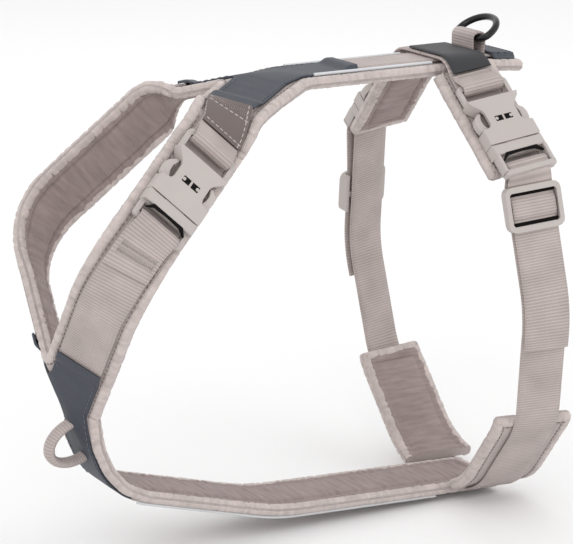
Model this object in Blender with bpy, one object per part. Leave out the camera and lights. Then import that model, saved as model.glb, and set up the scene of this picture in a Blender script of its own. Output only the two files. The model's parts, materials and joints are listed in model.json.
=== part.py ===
"""A no pull dog harness, size medium, on 25 mm webbing.

Frame: the dog faces -X, so +X runs towards its tail, +Y is its right side and +Z is up. The origin is
on the underside of the flat back pad, on the harness's middle plane. A strap is laid out on a Route,
the way that it takes over the dog's body, and a place on it is (along, across, out) in that route's
own frame: along the strap, across it towards the tail, and out from the body.
"""

import math

import bmesh
import bpy
from mathutils import Matrix, Vector

MM = 0.001

# Overall sizes: how the harness lies on the dog
CHEST_DEPTH = 234 * MM          # back pad to belly pad, inside
CHEST_HALF = 84 * MM            # middle plane to the side of the girth loop, inside
GIRTH_AT = 51 * MM              # the girth loop crosses the back this far behind the origin
GIRTH_LEAN = 19 * MM            # and crosses the belly this much further back
GIRTH_TOE_IN = 13               # degrees that the side straps face forwards
NECK_HALF = 53 * MM             # middle plane to the widest place of the neck loop
NECK_DEPTH = 152 * MM           # withers to the point where the neck straps meet on the chest
NECK_REACH = 110 * MM           # the same, measured forwards
WITHERS_AT = -62 * MM           # where the two neck straps leave the back pad
BACK_END = 91 * MM              # rear end of the back pad
BELLY_END = 82 * MM             # rear end of the belly pad

# Straps
WEBBING_WIDTH = 25 * MM
WEBBING_THICK = 1.8 * MM
PAD_WIDTH = WEBBING_WIDTH + 2 * 5.5 * MM
BACK_PAD_WIDTH = WEBBING_WIDTH + 2 * 8 * MM
WING_WIDTH = WEBBING_WIDTH + 2 * 9 * MM
PAD_THICK = 5 * MM
PATCH_THICK = 1.2 * MM
PATCH_MARGIN = 5 * MM           # how far a facing patch stays inside the edge of its pad
PIPING_WIDTH = 2 * MM
PIPING_GAP = 2 * MM             # between the back webbing and the piping beside it
LAYER_GAP = 0.4 * MM            # between two layers that are sewn together

# Side release buckles, all three alike
BAR_LENGTH = WEBBING_WIDTH + 1.2 * MM   # clear width of a webbing slot
BUCKLE_WIDTH = BAR_LENGTH + 2 * 2.4 * MM
BUCKLE_THICK = 8.4 * MM
BUCKLE_WALL = 1.8 * MM
SOCKET_LENGTH = 39 * MM         # the female half, from its bar to its mouth
PLUG_LENGTH = 16 * MM           # the part of the male half that stays outside
BAR_SIZE = 3.0 * MM             # a webbing bar, along the strap
BAR_THICK = 2.4 * MM            # and out from the body
RUN_GAP = 0.3 * MM              # between plastic parts that move on each other
WINDOW = (-21 * MM, -9 * MM)    # the socket's side windows, measured from its mouth
SHOULDER_INNER = BUCKLE_WIDTH / 2 - 2.1 * MM    # middle to the inner face of the shoulders at the mouth
WAIST_HALF = BUCKLE_WIDTH / 2 - 6 * MM          # half width of the socket between its windows
HOLE_SIZE = 2.4 * MM            # the two small square holes in the socket's face
HOLE_AT = -15 * MM

# Sliders
SLIDER_LENGTH = 24 * MM
SLIDER_WIDTH = BUCKLE_WIDTH
SLIDER_BAR = 1.8 * MM           # thickness of the middle bar
SLIDER_BAR_HALF = 1.6 * MM      # and half its width
SLIDER_END = 3.2 * MM           # width of an end bar
SLIDER_RAIL = 2.0 * MM          # thickness of the end bars
SLIDER_DROP = {-1: 0.5 * MM, 1: 25 * MM}    # below the turn under each girth buckle, left and right

# Leash points
RING_WIRE = 3.8 * MM
RING_INNER = (24 * MM, 13 * MM)  # clear width and depth of the D
RING_CORNER = 5 * MM            # where the bow of the D meets its bar
RING_HEIGHT = 7 * MM            # the bar stands this far above the second layer
RING_REST = 36                  # degrees above level, pointing to the tail
RING_LOOP_WIDTH = 20 * MM
RING_AT = GIRTH_AT + WEBBING_WIDTH / 2 + 5.5 * MM
LEASH_LOOP_WIDTH = 12 * MM
LEASH_LOOP_SPAN = 20 * MM
LEASH_LOOP_RISE = 14 * MM
LEASH_LOOP_AT = 22 * MM         # below the point where the neck straps meet
LEASH_LOOP_FOOT = 7 * MM        # length of each sewn end

# Heights of the layers above the dog's body, at mid thickness
LAYER_1 = PAD_THICK + LAYER_GAP + WEBBING_THICK / 2
LAYER_2 = LAYER_1 + WEBBING_THICK + LAYER_GAP
PATCH_BASE = LAYER_1 + WEBBING_THICK / 2 + LAYER_GAP
BUCKLE_BASE = PAD_THICK + 2 * LAYER_GAP
BAR_MID = 3.8 * MM              # middle of a webbing bar above the buckle's base
BAR_TURN = math.hypot(BAR_SIZE, BAR_THICK) / 2 + 0.5 * MM + WEBBING_THICK / 2   # webbing round a bar
STRAND_IN = LAYER_1              # the two strands that run through a slider
STRAND_OUT = STRAND_IN + WEBBING_THICK + SLIDER_BAR + 2 * RUN_GAP

ARC_STEP = 9                    # degrees between two knots of an arc
LEFT, RIGHT = -1, 1
YOKE_LEGS = {LEFT: 38 * MM, RIGHT: 36 * MM}    # how far the back pad runs out along each neck strap
CHEST_LEGS = {LEFT: 34 * MM, RIGHT: 36 * MM}   # and the belly pad, up from where the neck straps meet
NECK_TUCK = 28 * MM             # the neck webbing ends this far from there, under the slate facing
YOKE_TRUNK = 53 * MM            # length of the slate facing on the back strap
CHEST_TRUNK = 58 * MM           # and on the belly strap
SIDE_NAME = {LEFT: "left", RIGHT: "right"}


# ---------------------------------------------------------------- materials

def finish(name, colour, roughness, metallic=0.0):
    material = bpy.data.materials.new(name)
    material.use_nodes = True
    shader = material.node_tree.nodes["Principled BSDF"]
    shader.inputs["Base Color"].default_value = (*colour, 1)
    shader.inputs["Roughness"].default_value = roughness
    shader.inputs["Metallic"].default_value = metallic
    material.diffuse_color = (*colour, 1)
    return material


def make_finishes():
    return {
        "lining": finish("padded_lining", (0.36, 0.28, 0.26), 0.9),
        "webbing": finish("ribbed_webbing", (0.52, 0.43, 0.40), 0.85),
        "patch": finish("slate_facing", (0.075, 0.09, 0.11), 0.6),
        "tab": finish("brown_tape", (0.17, 0.13, 0.12), 0.7),
        "label": finish("charcoal_label", (0.05, 0.05, 0.055), 0.6),
        "piping": finish("reflective_piping", (0.60, 0.62, 0.65), 0.4),
        "plastic": finish("taupe_plastic", (0.56, 0.50, 0.46), 0.5),
        "ring": finish("black_metal", (0.012, 0.012, 0.014), 0.25, 0.9),
    }


# ---------------------------------------------------------------- routes

def unit_across(vector, direction):
    """The part of a vector that is square to a direction, at unit length."""
    return (vector - direction * vector.dot(direction)).normalized()


class Route:
    """Straight runs joined by arcs. Each run has its own outward direction, turned along the arcs."""

    def __init__(self, corners, radii, outs, side=RIGHT):
        self.side = side
        corners = [Vector((x, side * y, z)) for x, y, z in corners]
        runs = [(b - a).normalized() for a, b in zip(corners, corners[1:])]
        outs = [unit_across(Vector((x, side * y, z)), run) for (x, y, z), run in zip(outs, runs)]
        self.points, self.alongs, self.outs, self.at = [], [], [], []
        self.straight = []                      # (start, end) of each straight run, as distances
        start = corners[0]
        for i, run in enumerate(runs):
            last = i == len(runs) - 1
            turn = 0 if last else run.angle(runs[i + 1])
            tangent = 0 if last else radii[i] * math.tan(turn / 2)
            end = corners[i + 1] - run * tangent
            self.add(start, run, outs[i])
            begun = self.at[-1]
            self.add(end, run, outs[i])
            self.straight.append((begun, self.at[-1]))
            if last:
                break
            centre = corners[i + 1] + (runs[i + 1] - run).normalized() * radii[i] / math.cos(turn / 2)
            start = corners[i + 1] + runs[i + 1] * tangent
            steps = max(2, round(math.degrees(turn) / ARC_STEP))
            for k in range(1, steps):
                share = k / steps
                early = math.sin((1 - share) * turn) / math.sin(turn)
                late = math.sin(share * turn) / math.sin(turn)
                along = run * early + runs[i + 1] * late
                out = unit_across(outs[i].lerp(outs[i + 1], share), along)
                self.add(centre + (end - centre) * early + (start - centre) * late, along, out)

    def add(self, point, along, out):
        distance = (point - self.points[-1]).length if self.points else 0
        self.at.append(self.at[-1] + distance if self.at else 0)
        self.points.append(point)
        self.alongs.append(along)
        self.outs.append(out)

    @property
    def length(self):
        return self.at[-1]

    def frame(self, distance):
        """The point and the along, across and out directions, a distance from the route's start."""
        i = 0
        while i < len(self.at) - 2 and self.at[i + 1] <= distance:
            i += 1
        share = (distance - self.at[i]) / (self.at[i + 1] - self.at[i])
        point = self.points[i].lerp(self.points[i + 1], share)
        along = self.alongs[i].lerp(self.alongs[i + 1], min(max(share, 0), 1)).normalized()
        out = self.outs[i].lerp(self.outs[i + 1], min(max(share, 0), 1)).normalized()
        return point, along, self.side * along.cross(out), out

    def place(self, distance, across, out):
        i = 0
        while i < len(self.at) - 2 and self.at[i + 1] <= distance:
            i += 1
        share = (distance - self.at[i]) / (self.at[i + 1] - self.at[i])
        ends = [
            self.points[k]
            + self.side * self.alongs[k].cross(self.outs[k]) * across
            + self.outs[k] * out
            for k in (i, i + 1)
        ]
        return ends[0].lerp(ends[1], share)

    def between(self, start, end):
        """The knots that lie between two distances, in the order in which they are passed."""
        low, high = sorted((start, end))
        found = [s for s in self.at if low + 0.2 * MM < s < high - 0.2 * MM]
        found = [s for i, s in enumerate(found) if i == 0 or s - found[i - 1] > 1e-6]
        return found if start <= end else found[::-1]

    def matrix(self, distance, out):
        """The frame of a rigid part: X along the route, Y across it and Z out from the body."""
        point, along, across, normal = self.frame(distance)
        turned = Matrix((along, normal.cross(along), normal)).transposed().to_4x4()
        return Matrix.Translation(point + normal * out) @ turned


def back_route():
    rise = 2 * MM
    corners = [(WITHERS_AT, 0, 0), (RING_AT, 0, 0), (BACK_END, 0, -rise)]
    return Route(corners, [40 * MM], [(0, 0, 1)] * 2)


def neck_route(side):
    """From the withers, over the shoulder and down to the middle of the chest."""
    meet_x = WITHERS_AT - NECK_REACH
    corners = [
        (WITHERS_AT, 6 * MM, 0),
        (WITHERS_AT - 0.335 * NECK_REACH, 0.585 * NECK_HALF, -0.062 * NECK_DEPTH),
        (WITHERS_AT - 0.98 * NECK_REACH, NECK_HALF, -0.49 * NECK_DEPTH),
        (meet_x, 0, -NECK_DEPTH),
    ]
    return Route(corners, [24 * MM, 40 * MM], [(-0.1, 0.3, 1), (-0.18, 0.96, 0.12), (-0.8, 0.5, -0.3)], side)


def belly_route():
    """From where the neck straps meet, down the chest and back along the belly."""
    meet_x = WITHERS_AT - NECK_REACH
    corners = [
        (meet_x, 0, -NECK_DEPTH),
        (meet_x + 19 * MM, 0, -0.85 * CHEST_DEPTH),
        (meet_x + 112 * MM, 0, -0.965 * CHEST_DEPTH),
        (BELLY_END, 0, -CHEST_DEPTH),
    ]
    return Route(corners, [34 * MM, 110 * MM], [(-0.93, 0, -0.35), (-0.3, 0, -1), (0, 0, -1)])


def girth_route(side):
    """From the far edge of the back strap, over it, down the side and in to the belly."""
    flat = BACK_PAD_WIDTH / 2
    yz = [
        (-flat, 0),
        (flat + 1 * MM, 0),
        (0.84 * CHEST_HALF, -0.21 * CHEST_DEPTH),
        (CHEST_HALF, -0.50 * CHEST_DEPTH),
        (0.85 * CHEST_HALF, -0.77 * CHEST_DEPTH),
        (0.40 * CHEST_HALF, -0.97 * CHEST_DEPTH),
        (0, -CHEST_DEPTH),
    ]
    lean = (0, 0, 0.3, 0.56, 0.86, 1, 1)
    corners = [(GIRTH_AT + GIRTH_LEAN * share, y, z) for share, (y, z) in zip(lean, yz)]
    toe_in = [0, 0.4, 1, 1, 0.6, 0]
    outs = []
    for share, (y0, z0), (y1, z1) in zip(toe_in, yz, yz[1:]):
        outward = Vector((0, z0 - z1, y1 - y0)).normalized()
        angle = math.radians(share * GIRTH_TOE_IN)
        outs.append(tuple(outward * math.cos(angle) - Vector((1, 0, 0)) * math.sin(angle)))
    return Route(corners, [7 * MM, 4 * MM, 60 * MM, 40 * MM, 40 * MM], outs, side)


# ---------------------------------------------------------------- solids

def add_object(name, bm, material, matrix=None):
    """Makes an object of a bmesh, with its faces pointing out."""
    bmesh.ops.recalc_face_normals(bm, faces=bm.faces)
    if bm.calc_volume(signed=True) < 0:
        bmesh.ops.reverse_faces(bm, faces=bm.faces)
    mesh = bpy.data.meshes.new(name)
    bm.to_mesh(mesh)
    bm.free()
    mesh.materials.append(material)
    obj = bpy.data.objects.new(name, mesh)
    bpy.context.scene.collection.objects.link(obj)
    if matrix:
        obj.matrix_world = matrix
    return obj


def with_knots(route, line):
    """A side view with a point added wherever the route has a knot."""
    full = [line[0]]
    for (s0, n0), (s1, n1) in zip(line, line[1:]):
        for s in route.between(s0, s1):
            full.append((s, n0 + (n1 - n0) * (s - s0) / (s1 - s0)))
        full.append((s1, n1))
    return full


def side_outline(line, thickness):
    """The two long sides of a strip whose middle follows a line in the (along, out) plane."""
    above, below = [], []
    for i, (s, n) in enumerate(line):
        before = Vector((0, 0)) if i == 0 else (Vector(line[i]) - Vector(line[i - 1])).normalized()
        after = Vector((0, 0)) if i == len(line) - 1 else (Vector(line[i + 1]) - Vector(line[i])).normalized()
        tangent = (before + after).normalized()
        half = thickness / 2 / max(0.5, max(tangent.dot(before), tangent.dot(after)))
        above.append((s - tangent.y * half, n + tangent.x * half))
        below.append((s + tangent.y * half, n - tangent.x * half))
    return above, below


def strip(name, route, line, thickness, columns, material):
    """Webbing, tape or a pad: a band whose side view follows a line and whose width spans the columns."""
    above, below = side_outline(with_knots(route, line), thickness)
    bm = bmesh.new()
    rows = []
    for edge in (above, below):
        rows.append([[bm.verts.new(route.place(s, u, n)) for u in columns] for s, n in edge])
    count = len(above)

    def quad(a, b, c, d, turned=False):
        """Two triangles that share the edge from a to c, or from b to d."""
        for triangle in ((b, c, d), (b, d, a)) if turned else ((a, b, c), (a, c, d)):
            bm.faces.new(triangle)

    for edge, side in zip(rows, (above, below)):
        for i in range(count - 1):
            back = side[i + 1][0] < side[i][0]
            for j in range(len(columns) - 1):
                quad(edge[i][j], edge[i + 1][j], edge[i + 1][j + 1], edge[i][j + 1], back)
    for j in (0, len(columns) - 1):
        for i in range(count - 1):
            quad(rows[0][i][j], rows[0][i + 1][j], rows[1][i + 1][j], rows[1][i][j])
    for i in (0, count - 1):
        for j in range(len(columns) - 1):
            quad(rows[0][i][j], rows[0][i][j + 1], rows[1][i][j + 1], rows[1][i][j])
    return add_object(name, bm, material)


def columns_of(width, *inner):
    """Places across a strap: its two edges, and pairs of lines at the given half widths."""
    halves = sorted({width / 2, *inner})
    return [-h for h in reversed(halves)] + halves


def sheet(name, grids, low, high, material, turned):
    """A Y-shaped layer: the solid between two heights over a surface, given as grids of (point, out).

    turned picks the diagonal that splits its cells, the one that the straps on its legs have.
    """
    bm = bmesh.new()
    made, triangles = {}, []

    def corner(point, out):
        key = tuple(round(c / (0.01 * MM)) for c in point)
        if key not in made:
            made[key] = (bm.verts.new(point + out * low), bm.verts.new(point + out * high))
        return key

    for grid in grids:
        keys = [[corner(*cell) for cell in row] for row in grid]
        for a, b in zip(keys, keys[1:]):
            for j in range(len(a) - 1):
                cell = [a[j], b[j], b[j + 1], a[j + 1]]
                cell = cell[1:] + cell[:1] if turned else cell
                for triangle in (cell[:3], [cell[0], cell[2], cell[3]]):
                    if len(set(triangle)) == 3:
                        triangles.append(triangle)
    uses = {}
    for triangle in triangles:
        for level in (0, 1):
            bm.faces.new([made[key][level] for key in triangle])
        for k in range(3):
            edge = frozenset((triangle[k], triangle[(k + 1) % 3]))
            uses[edge] = uses.get(edge, 0) + 1
    for edge, count in uses.items():
        if count == 1:
            p, q = sorted(edge)
            bm.faces.new((made[p][0], made[q][0], made[q][1]))
            bm.faces.new((made[p][0], made[q][1], made[p][1]))
    return add_object(name, bm, material)


def fork(leg, leg_distances, leg_columns, trunk_rows, trunk_columns, ends):
    """The grids of a Y. leg(d) is the right leg's frame. Each leg is cut where it meets the middle plane."""
    def leg_row(distance, side):
        point, _, across, out = leg(distance)
        cut = -point.y / across.y
        row = []
        for u in leg_columns:
            here = point + across * max(u, cut)
            normal = out if u > cut else Vector((out.x, 0, out.z)).normalized()
            row.append([Vector((v.x, side * v.y, v.z)) for v in (here, normal)])
        return row

    def trunk_row(cell, side):
        point, out = cell
        return [(point + Vector((0, side * u, 0)), out) for u in trunk_columns]

    grids = []
    for side in (LEFT, RIGHT):
        legs = [leg_row(d, side) for d in leg_distances if d <= ends[side]]
        grids.append([trunk_row(cell, side) for cell in reversed(trunk_rows)] + legs)
    return grids


def crossing(leg, edge):
    """The distance at which a line along the leg, this far to its inner side, leaves the middle plane."""
    low, high = 0, 60 * MM
    for _ in range(40):
        middle = (low + high) / 2
        point, _, across, _ = leg(middle)
        if point.y - across.y * edge < 0:
            low = middle
        else:
            high = middle
    return high


def prism(bm, outline, low, high):
    """Adds a straight solid over a plan outline to a bmesh."""
    bottom = [bm.verts.new((x, y, low)) for x, y in outline]
    top = [bm.verts.new((x, y, high)) for x, y in outline]
    bm.faces.new(reversed(bottom))
    bm.faces.new(top)
    for i in range(len(outline)):
        k = (i + 1) % len(outline)
        bm.faces.new((bottom[i], bottom[k], top[k], top[i]))


def block(name, pieces, material, matrix):
    """An object of one or more prisms, each (outline, low, high), which stay separate shells."""
    bm = bmesh.new()
    for outline, low, high in pieces:
        prism(bm, outline, low, high)
    return add_object(name, bm, material, matrix)


def combine(obj, other, operation):
    """A Boolean with a hidden helper."""
    other.hide_render = True
    other.display_type = "WIRE"
    modifier = obj.modifiers.new(other.name, "BOOLEAN")
    modifier.operation = operation
    modifier.solver = "EXACT"
    modifier.object = other


def rectangle(x0, x1, half):
    return [(x0, -half), (x1, -half), (x1, half), (x0, half)]


def rounded(x0, x1, half, radius, steps=3):
    """A rectangle with round corners, centred on Y = 0."""
    outline = []
    for cx, cy, first in (
        (x1 - radius, half - radius, 0),
        (x0 + radius, half - radius, 90),
        (x0 + radius, radius - half, 180),
        (x1 - radius, radius - half, 270),
    ):
        for k in range(steps + 1):
            angle = math.radians(first + 90 * k / steps)
            outline.append((cx + radius * math.cos(angle), cy + radius * math.sin(angle)))
    return outline


def turn_round_bar(s, n, direction, steps=6):
    """The side view of webbing that goes round a bar at (s, n), from below it to above it."""
    return [
        (
            s + direction * BAR_TURN * math.sin(math.pi * k / steps),
            n - BAR_TURN * math.cos(math.pi * k / steps),
        )
        for k in range(steps + 1)
    ]


# ---------------------------------------------------------------- back, neck, chest and belly

def leg_of(route, reverse=False):
    if reverse:
        return lambda d: route.frame(route.length - d)
    return route.frame


def leg_stations(route, reverse, last, *extra):
    """Distances along a leg of a Y: its knots, its ends and any others."""
    knots = [route.length - s for s in route.at] if reverse else list(route.at)
    found = sorted({0.0, last, *extra, *(s for s in knots if 0 < s < last)})
    return [s for i, s in enumerate(found) if i == 0 or s - found[i - 1] > 0.3 * MM]


def make_forks(routes, looks):
    """The back pad and the belly pad, each a Y, and the slate facing sewn on each."""
    half, patch_half = PAD_WIDTH / 2, PAD_WIDTH / 2 - PATCH_MARGIN
    trunk_half = BACK_PAD_WIDTH / 2
    for pad_name, patch_name, trunk, reverse, ends, patch_end in (
        ("back_pad", "yoke_patch", routes["back"], False, YOKE_LEGS, YOKE_TRUNK),
        ("belly_pad", "chest_patch", routes["belly"], True, CHEST_LEGS, CHEST_TRUNK),
    ):
        neck = routes["neck", RIGHT]
        leg = leg_of(neck, reverse)
        first = leg(0)[0].y
        crotch, patch_crotch = crossing(leg, half), crossing(leg, patch_half)
        stations = leg_stations(neck, reverse, max(ends.values()), min(ends.values()), crotch, patch_crotch)
        start = trunk_half - first + 4 * MM     # clears the outer corner of the leg's first row
        cuts = [start, *trunk.between(start, patch_end), patch_end]
        rest = [*trunk.between(patch_end, trunk.length), trunk.length]
        rows = [(trunk.frame(s)[0], trunk.frame(s)[3]) for s in cuts + rest]
        near = [trunk_half, trunk_half - PATCH_MARGIN, max(first, 5 * MM), 0, 0]
        pad_columns = [half, patch_half, 0, -patch_half, -half]
        grids = fork(leg, stations, pad_columns, rows, near, ends)
        sheet(pad_name, grids, 0, PAD_THICK, looks["lining"], not reverse)
        grids = fork(leg, stations, pad_columns[1:4], rows[: len(cuts)], near[1:4], ends)
        sheet(patch_name, grids, PATCH_BASE, PATCH_BASE + PATCH_THICK, looks["patch"], not reverse)


def pad(name, route, start, end, width, looks):
    middle = PAD_THICK / 2
    columns = columns_of(width, WEBBING_WIDTH / 2)
    return strip(name, route, [(start, middle), (end, middle)], PAD_THICK, columns, looks["lining"])


def webbing(name, route, line, looks, width=WEBBING_WIDTH, look="webbing"):
    return strip(name, route, line, WEBBING_THICK, columns_of(width), looks[look])


def make_back(routes, looks):
    back = routes["back"]
    webbing("back_webbing", back, [(24 * MM, LAYER_1), (back.length - 6 * MM, LAYER_1)], looks)
    for side in (LEFT, RIGHT):
        inner = side * (WEBBING_WIDTH / 2 + PIPING_GAP)
        columns = sorted((inner, inner + side * PIPING_WIDTH))
        line = [(25 * MM, LAYER_1), (GIRTH_AT - WITHERS_AT - WEBBING_WIDTH / 2 - 3 * MM, LAYER_1)]
        strip(f"back_piping_{SIDE_NAME[side]}", back, line, WEBBING_THICK, columns, looks["piping"])
    middle = PATCH_BASE + PATCH_THICK / 2
    line = [(RING_AT - WITHERS_AT + 5.5 * MM, middle), (back.length - 1 * MM, middle)]
    strip("rear_patch", back, line, PATCH_THICK, columns_of(BACK_PAD_WIDTH - PATCH_MARGIN), looks["patch"])


def make_neck(routes, looks, buckle_at):
    """The neck straps. The left one opens at a buckle that lies on the flap of its lower pad."""
    left, right = routes["neck", LEFT], routes["neck", RIGHT]
    for side, route in ((LEFT, left), (RIGHT, right)):
        start, end = YOKE_LEGS[side] + 0.5 * MM, route.length - CHEST_LEGS[side] - 0.5 * MM
        pad(f"neck_pad_{SIDE_NAME[side]}", route, start, end, PAD_WIDTH, looks)
    line = [(25 * MM, LAYER_1), (right.length - NECK_TUCK, LAYER_1)]
    webbing("neck_webbing_right", right, line, looks)
    bar = buckle_at["neck", LEFT] - SOCKET_LENGTH + BAR_SIZE / 2
    mid = BUCKLE_BASE + BAR_MID
    loop = [(25 * MM, LAYER_1), *turn_round_bar(bar, mid, 1), (bar - 8 * MM, LAYER_2)]
    webbing("neck_webbing_upper", left, loop, looks)
    tab = [(YOKE_LEGS[LEFT] + 0.5 * MM, LAYER_2), (bar - 9.5 * MM, LAYER_2)]
    webbing("neck_tab", left, tab, looks, look="tab")
    bar = buckle_at["neck", LEFT] + PLUG_LENGTH - BAR_SIZE / 2
    loop = [(left.length - NECK_TUCK, LAYER_1), *turn_round_bar(bar, mid, -1)]
    loop += [(bar + 8 * MM, LAYER_2), (bar + 22 * MM, LAYER_2)]
    webbing("neck_webbing_left", left, loop, looks)


def make_chest(routes, looks):
    belly = routes["belly"]
    start = 60 * MM
    webbing("belly_webbing", belly, [(start, LAYER_1), (belly.length - 2 * MM, LAYER_1)], looks)
    for side in (LEFT, RIGHT):
        inner = side * (BACK_PAD_WIDTH / 2 - 1 * MM - PIPING_WIDTH)
        columns = sorted((inner, inner + side * PIPING_WIDTH))
        line = [(start, LAYER_1), (belly.length - 41 * MM, LAYER_1)]
        strip(f"belly_piping_{SIDE_NAME[side]}", belly, line, WEBBING_THICK, columns, looks["piping"])
    foot = PATCH_BASE + PATCH_THICK + LAYER_GAP + WEBBING_THICK / 2
    half = LEASH_LOOP_SPAN / 2
    line = [(LEASH_LOOP_AT - half - LEASH_LOOP_FOOT, foot)]
    steps = 12
    for k in range(steps + 1):
        angle = math.pi * k / steps
        line.append((LEASH_LOOP_AT - half * math.cos(angle), foot + LEASH_LOOP_RISE * math.sin(angle)))
    line.append((LEASH_LOOP_AT + half + LEASH_LOOP_FOOT, foot))
    webbing("leash_loop", belly, line, looks, LEASH_LOOP_WIDTH)


# ---------------------------------------------------------------- girth

def make_girth(routes, looks, buckle_at, slider_at):
    centre = BACK_PAD_WIDTH / 2                 # where the route passes the middle plane
    edge = BACK_PAD_WIDTH                       # and where it leaves the back pad
    mid = BUCKLE_BASE + BAR_MID
    for side in (LEFT, RIGHT):
        girth = routes["girth", side]
        name = SIDE_NAME[side]
        corner, run_end = girth.straight[1]
        pad(f"girth_pad_{name}", girth, edge + 3 * MM, run_end - 3 * MM, PAD_WIDTH, looks)
        wing_top = girth.straight[3][1] + 9 * MM
        pad(f"belly_wing_{name}", girth, wing_top, girth.length - centre - 1.5 * MM, WING_WIDTH, looks)

        bar = buckle_at["girth", side] - SOCKET_LENGTH + BAR_SIZE / 2
        line = [(centre + 0.3 * MM, LAYER_2), (edge, LAYER_2), (corner + 2 * MM, LAYER_1)]
        end = LAYER_2 + LAYER_GAP
        line += [*turn_round_bar(bar, mid, 1), (bar - 6.5 * MM, end), (corner + 3 * MM, end)]
        webbing(f"girth_webbing_upper_{name}", girth, line, looks)

        bar = buckle_at["girth", side] + PLUG_LENGTH - BAR_SIZE / 2
        slider_start = slider_at[side] - SLIDER_LENGTH / 2
        tail_end = girth.straight[3][0] + 6 * MM
        line = [(girth.length - centre - 2 * MM, STRAND_IN), *turn_round_bar(bar, mid, -1)]
        line += [(slider_start - 0.5 * MM, STRAND_OUT), (tail_end, STRAND_OUT)]
        webbing(f"girth_webbing_lower_{name}", girth, line, looks)
    high = LAYER_2 + WEBBING_THICK / 2 + LAYER_GAP + PATCH_THICK / 2
    line = [(centre - 12 * MM, high), (edge, high), (corner + 2 * MM, high)]
    columns = columns_of(WEBBING_WIDTH - 1 * MM)
    strip("label_patch", routes["girth", LEFT], line, PATCH_THICK, columns, looks["label"])


# ---------------------------------------------------------------- hardware

def mirror_outline(half_outline):
    """A plan outline from its +Y half, which runs from one end of the part to the other."""
    return half_outline + [(x, -y) for x, y in reversed(half_outline)]


def make_socket(name, matrix, looks):
    """The female half. X = 0 is its mouth, and it reaches back to its webbing bar at -X."""
    edge, bar_end = BUCKLE_WIDTH / 2, -SOCKET_LENGTH
    slot_start, slot_end = bar_end + BAR_SIZE, WINDOW[0] - 6.5 * MM
    plan = mirror_outline([
        (0, edge - 0.5 * MM), (-0.5 * MM, edge), (WINDOW[1], edge), (WINDOW[1] - 1 * MM, WAIST_HALF + 1 * MM),
        (WINDOW[1] - 3 * MM, WAIST_HALF), (WINDOW[0] + 2 * MM, WAIST_HALF), (WINDOW[0], WAIST_HALF + 1 * MM),
        (WINDOW[0] - 4 * MM, edge - 1 * MM), (slot_end, edge),
    ])
    body = block(name, [(plan, 0, BUCKLE_THICK)], looks["plastic"], matrix)
    low, high = BUCKLE_WALL, BUCKLE_THICK - BUCKLE_WALL
    channel, rail = 3.6 * MM, 5.2 * MM
    inside = WINDOW[0]
    hollow = [(1 * MM, rail), (1 * MM, SHOULDER_INNER), (WINDOW[1], SHOULDER_INNER), (WINDOW[1], 20 * MM),
              (inside, 20 * MM), (inside, rail)]
    cavities = [
        (hollow, low, high),
        ([(x, -y) for x, y in reversed(hollow)], low, high),
        (rectangle(inside, 1 * MM, channel), low, high),
    ]
    cutter = block(f"{name}_cavity", cavities, looks["plastic"], matrix)
    combine(body, cutter, "DIFFERENCE")
    bar_low, bar_high = BAR_MID - BAR_THICK / 2, BAR_MID + BAR_THICK / 2
    frame = (rounded(bar_end, slot_end + 2 * MM, edge, 2.5 * MM), bar_low, bar_high)
    combine(body, block(f"{name}_frame", [frame], looks["plastic"], matrix), "UNION")
    openings = [(rectangle(slot_start, slot_end, BAR_LENGTH / 2), -1 * MM, BUCKLE_THICK + 1 * MM)]
    for y in (-HOLE_SIZE, HOLE_SIZE):
        square = [(x, y + dy) for x, dy in rectangle(HOLE_AT, HOLE_AT + HOLE_SIZE, HOLE_SIZE / 2)]
        openings.append((square, BUCKLE_THICK / 2, BUCKLE_THICK + 1 * MM))
    combine(body, block(f"{name}_openings", openings, looks["plastic"], matrix), "DIFFERENCE")


def make_plug(name, matrix, looks):
    """The male half: a cross block, a guide that enters the socket, and a frame with the webbing bar."""
    edge, root = BUCKLE_WIDTH / 2, 5.5 * MM
    low, high = BUCKLE_WALL + RUN_GAP, BUCKLE_THICK - BUCKLE_WALL - RUN_GAP
    inner, outer = WAIST_HALF - 3.5 * MM, WAIST_HALF + 3.5 * MM    # notches in which the latch arms start
    base = [(RUN_GAP, -edge), (root + 1 * MM, -edge), (root + 1 * MM, edge), (RUN_GAP, edge),
            (RUN_GAP, outer), (3 * MM, outer), (3 * MM, inner), (RUN_GAP, inner),
            (RUN_GAP, -inner), (3 * MM, -inner), (3 * MM, -outer), (RUN_GAP, -outer)]
    body = block(name, [(base, 0.6 * MM, BUCKLE_THICK - 0.6 * MM)], looks["plastic"], matrix)
    guide = [(1.5 * MM, -3.3 * MM), (1.5 * MM, 3.3 * MM), (-13 * MM, 3.3 * MM), (-16 * MM, 1.5 * MM),
             (-16 * MM, -1.5 * MM), (-13 * MM, -3.3 * MM)]
    combine(body, block(f"{name}_guide", [(guide, low, high)], looks["plastic"], matrix), "UNION")
    bar = (rounded(root, PLUG_LENGTH, edge, 2.2 * MM), BAR_MID - BAR_THICK / 2, BAR_MID + BAR_THICK / 2)
    combine(body, block(f"{name}_frame", [bar], looks["plastic"], matrix), "UNION")
    slot = rectangle(root + 1.8 * MM, PLUG_LENGTH - BAR_SIZE, BAR_LENGTH / 2)
    slot = (slot, -1 * MM, BUCKLE_THICK + 1 * MM)
    combine(body, block(f"{name}_slot", [slot], looks["plastic"], matrix), "DIFFERENCE")


LATCH_PIVOT = (2.4 * MM, WAIST_HALF)            # where a latch arm bends, beside the plug's cross block


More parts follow.
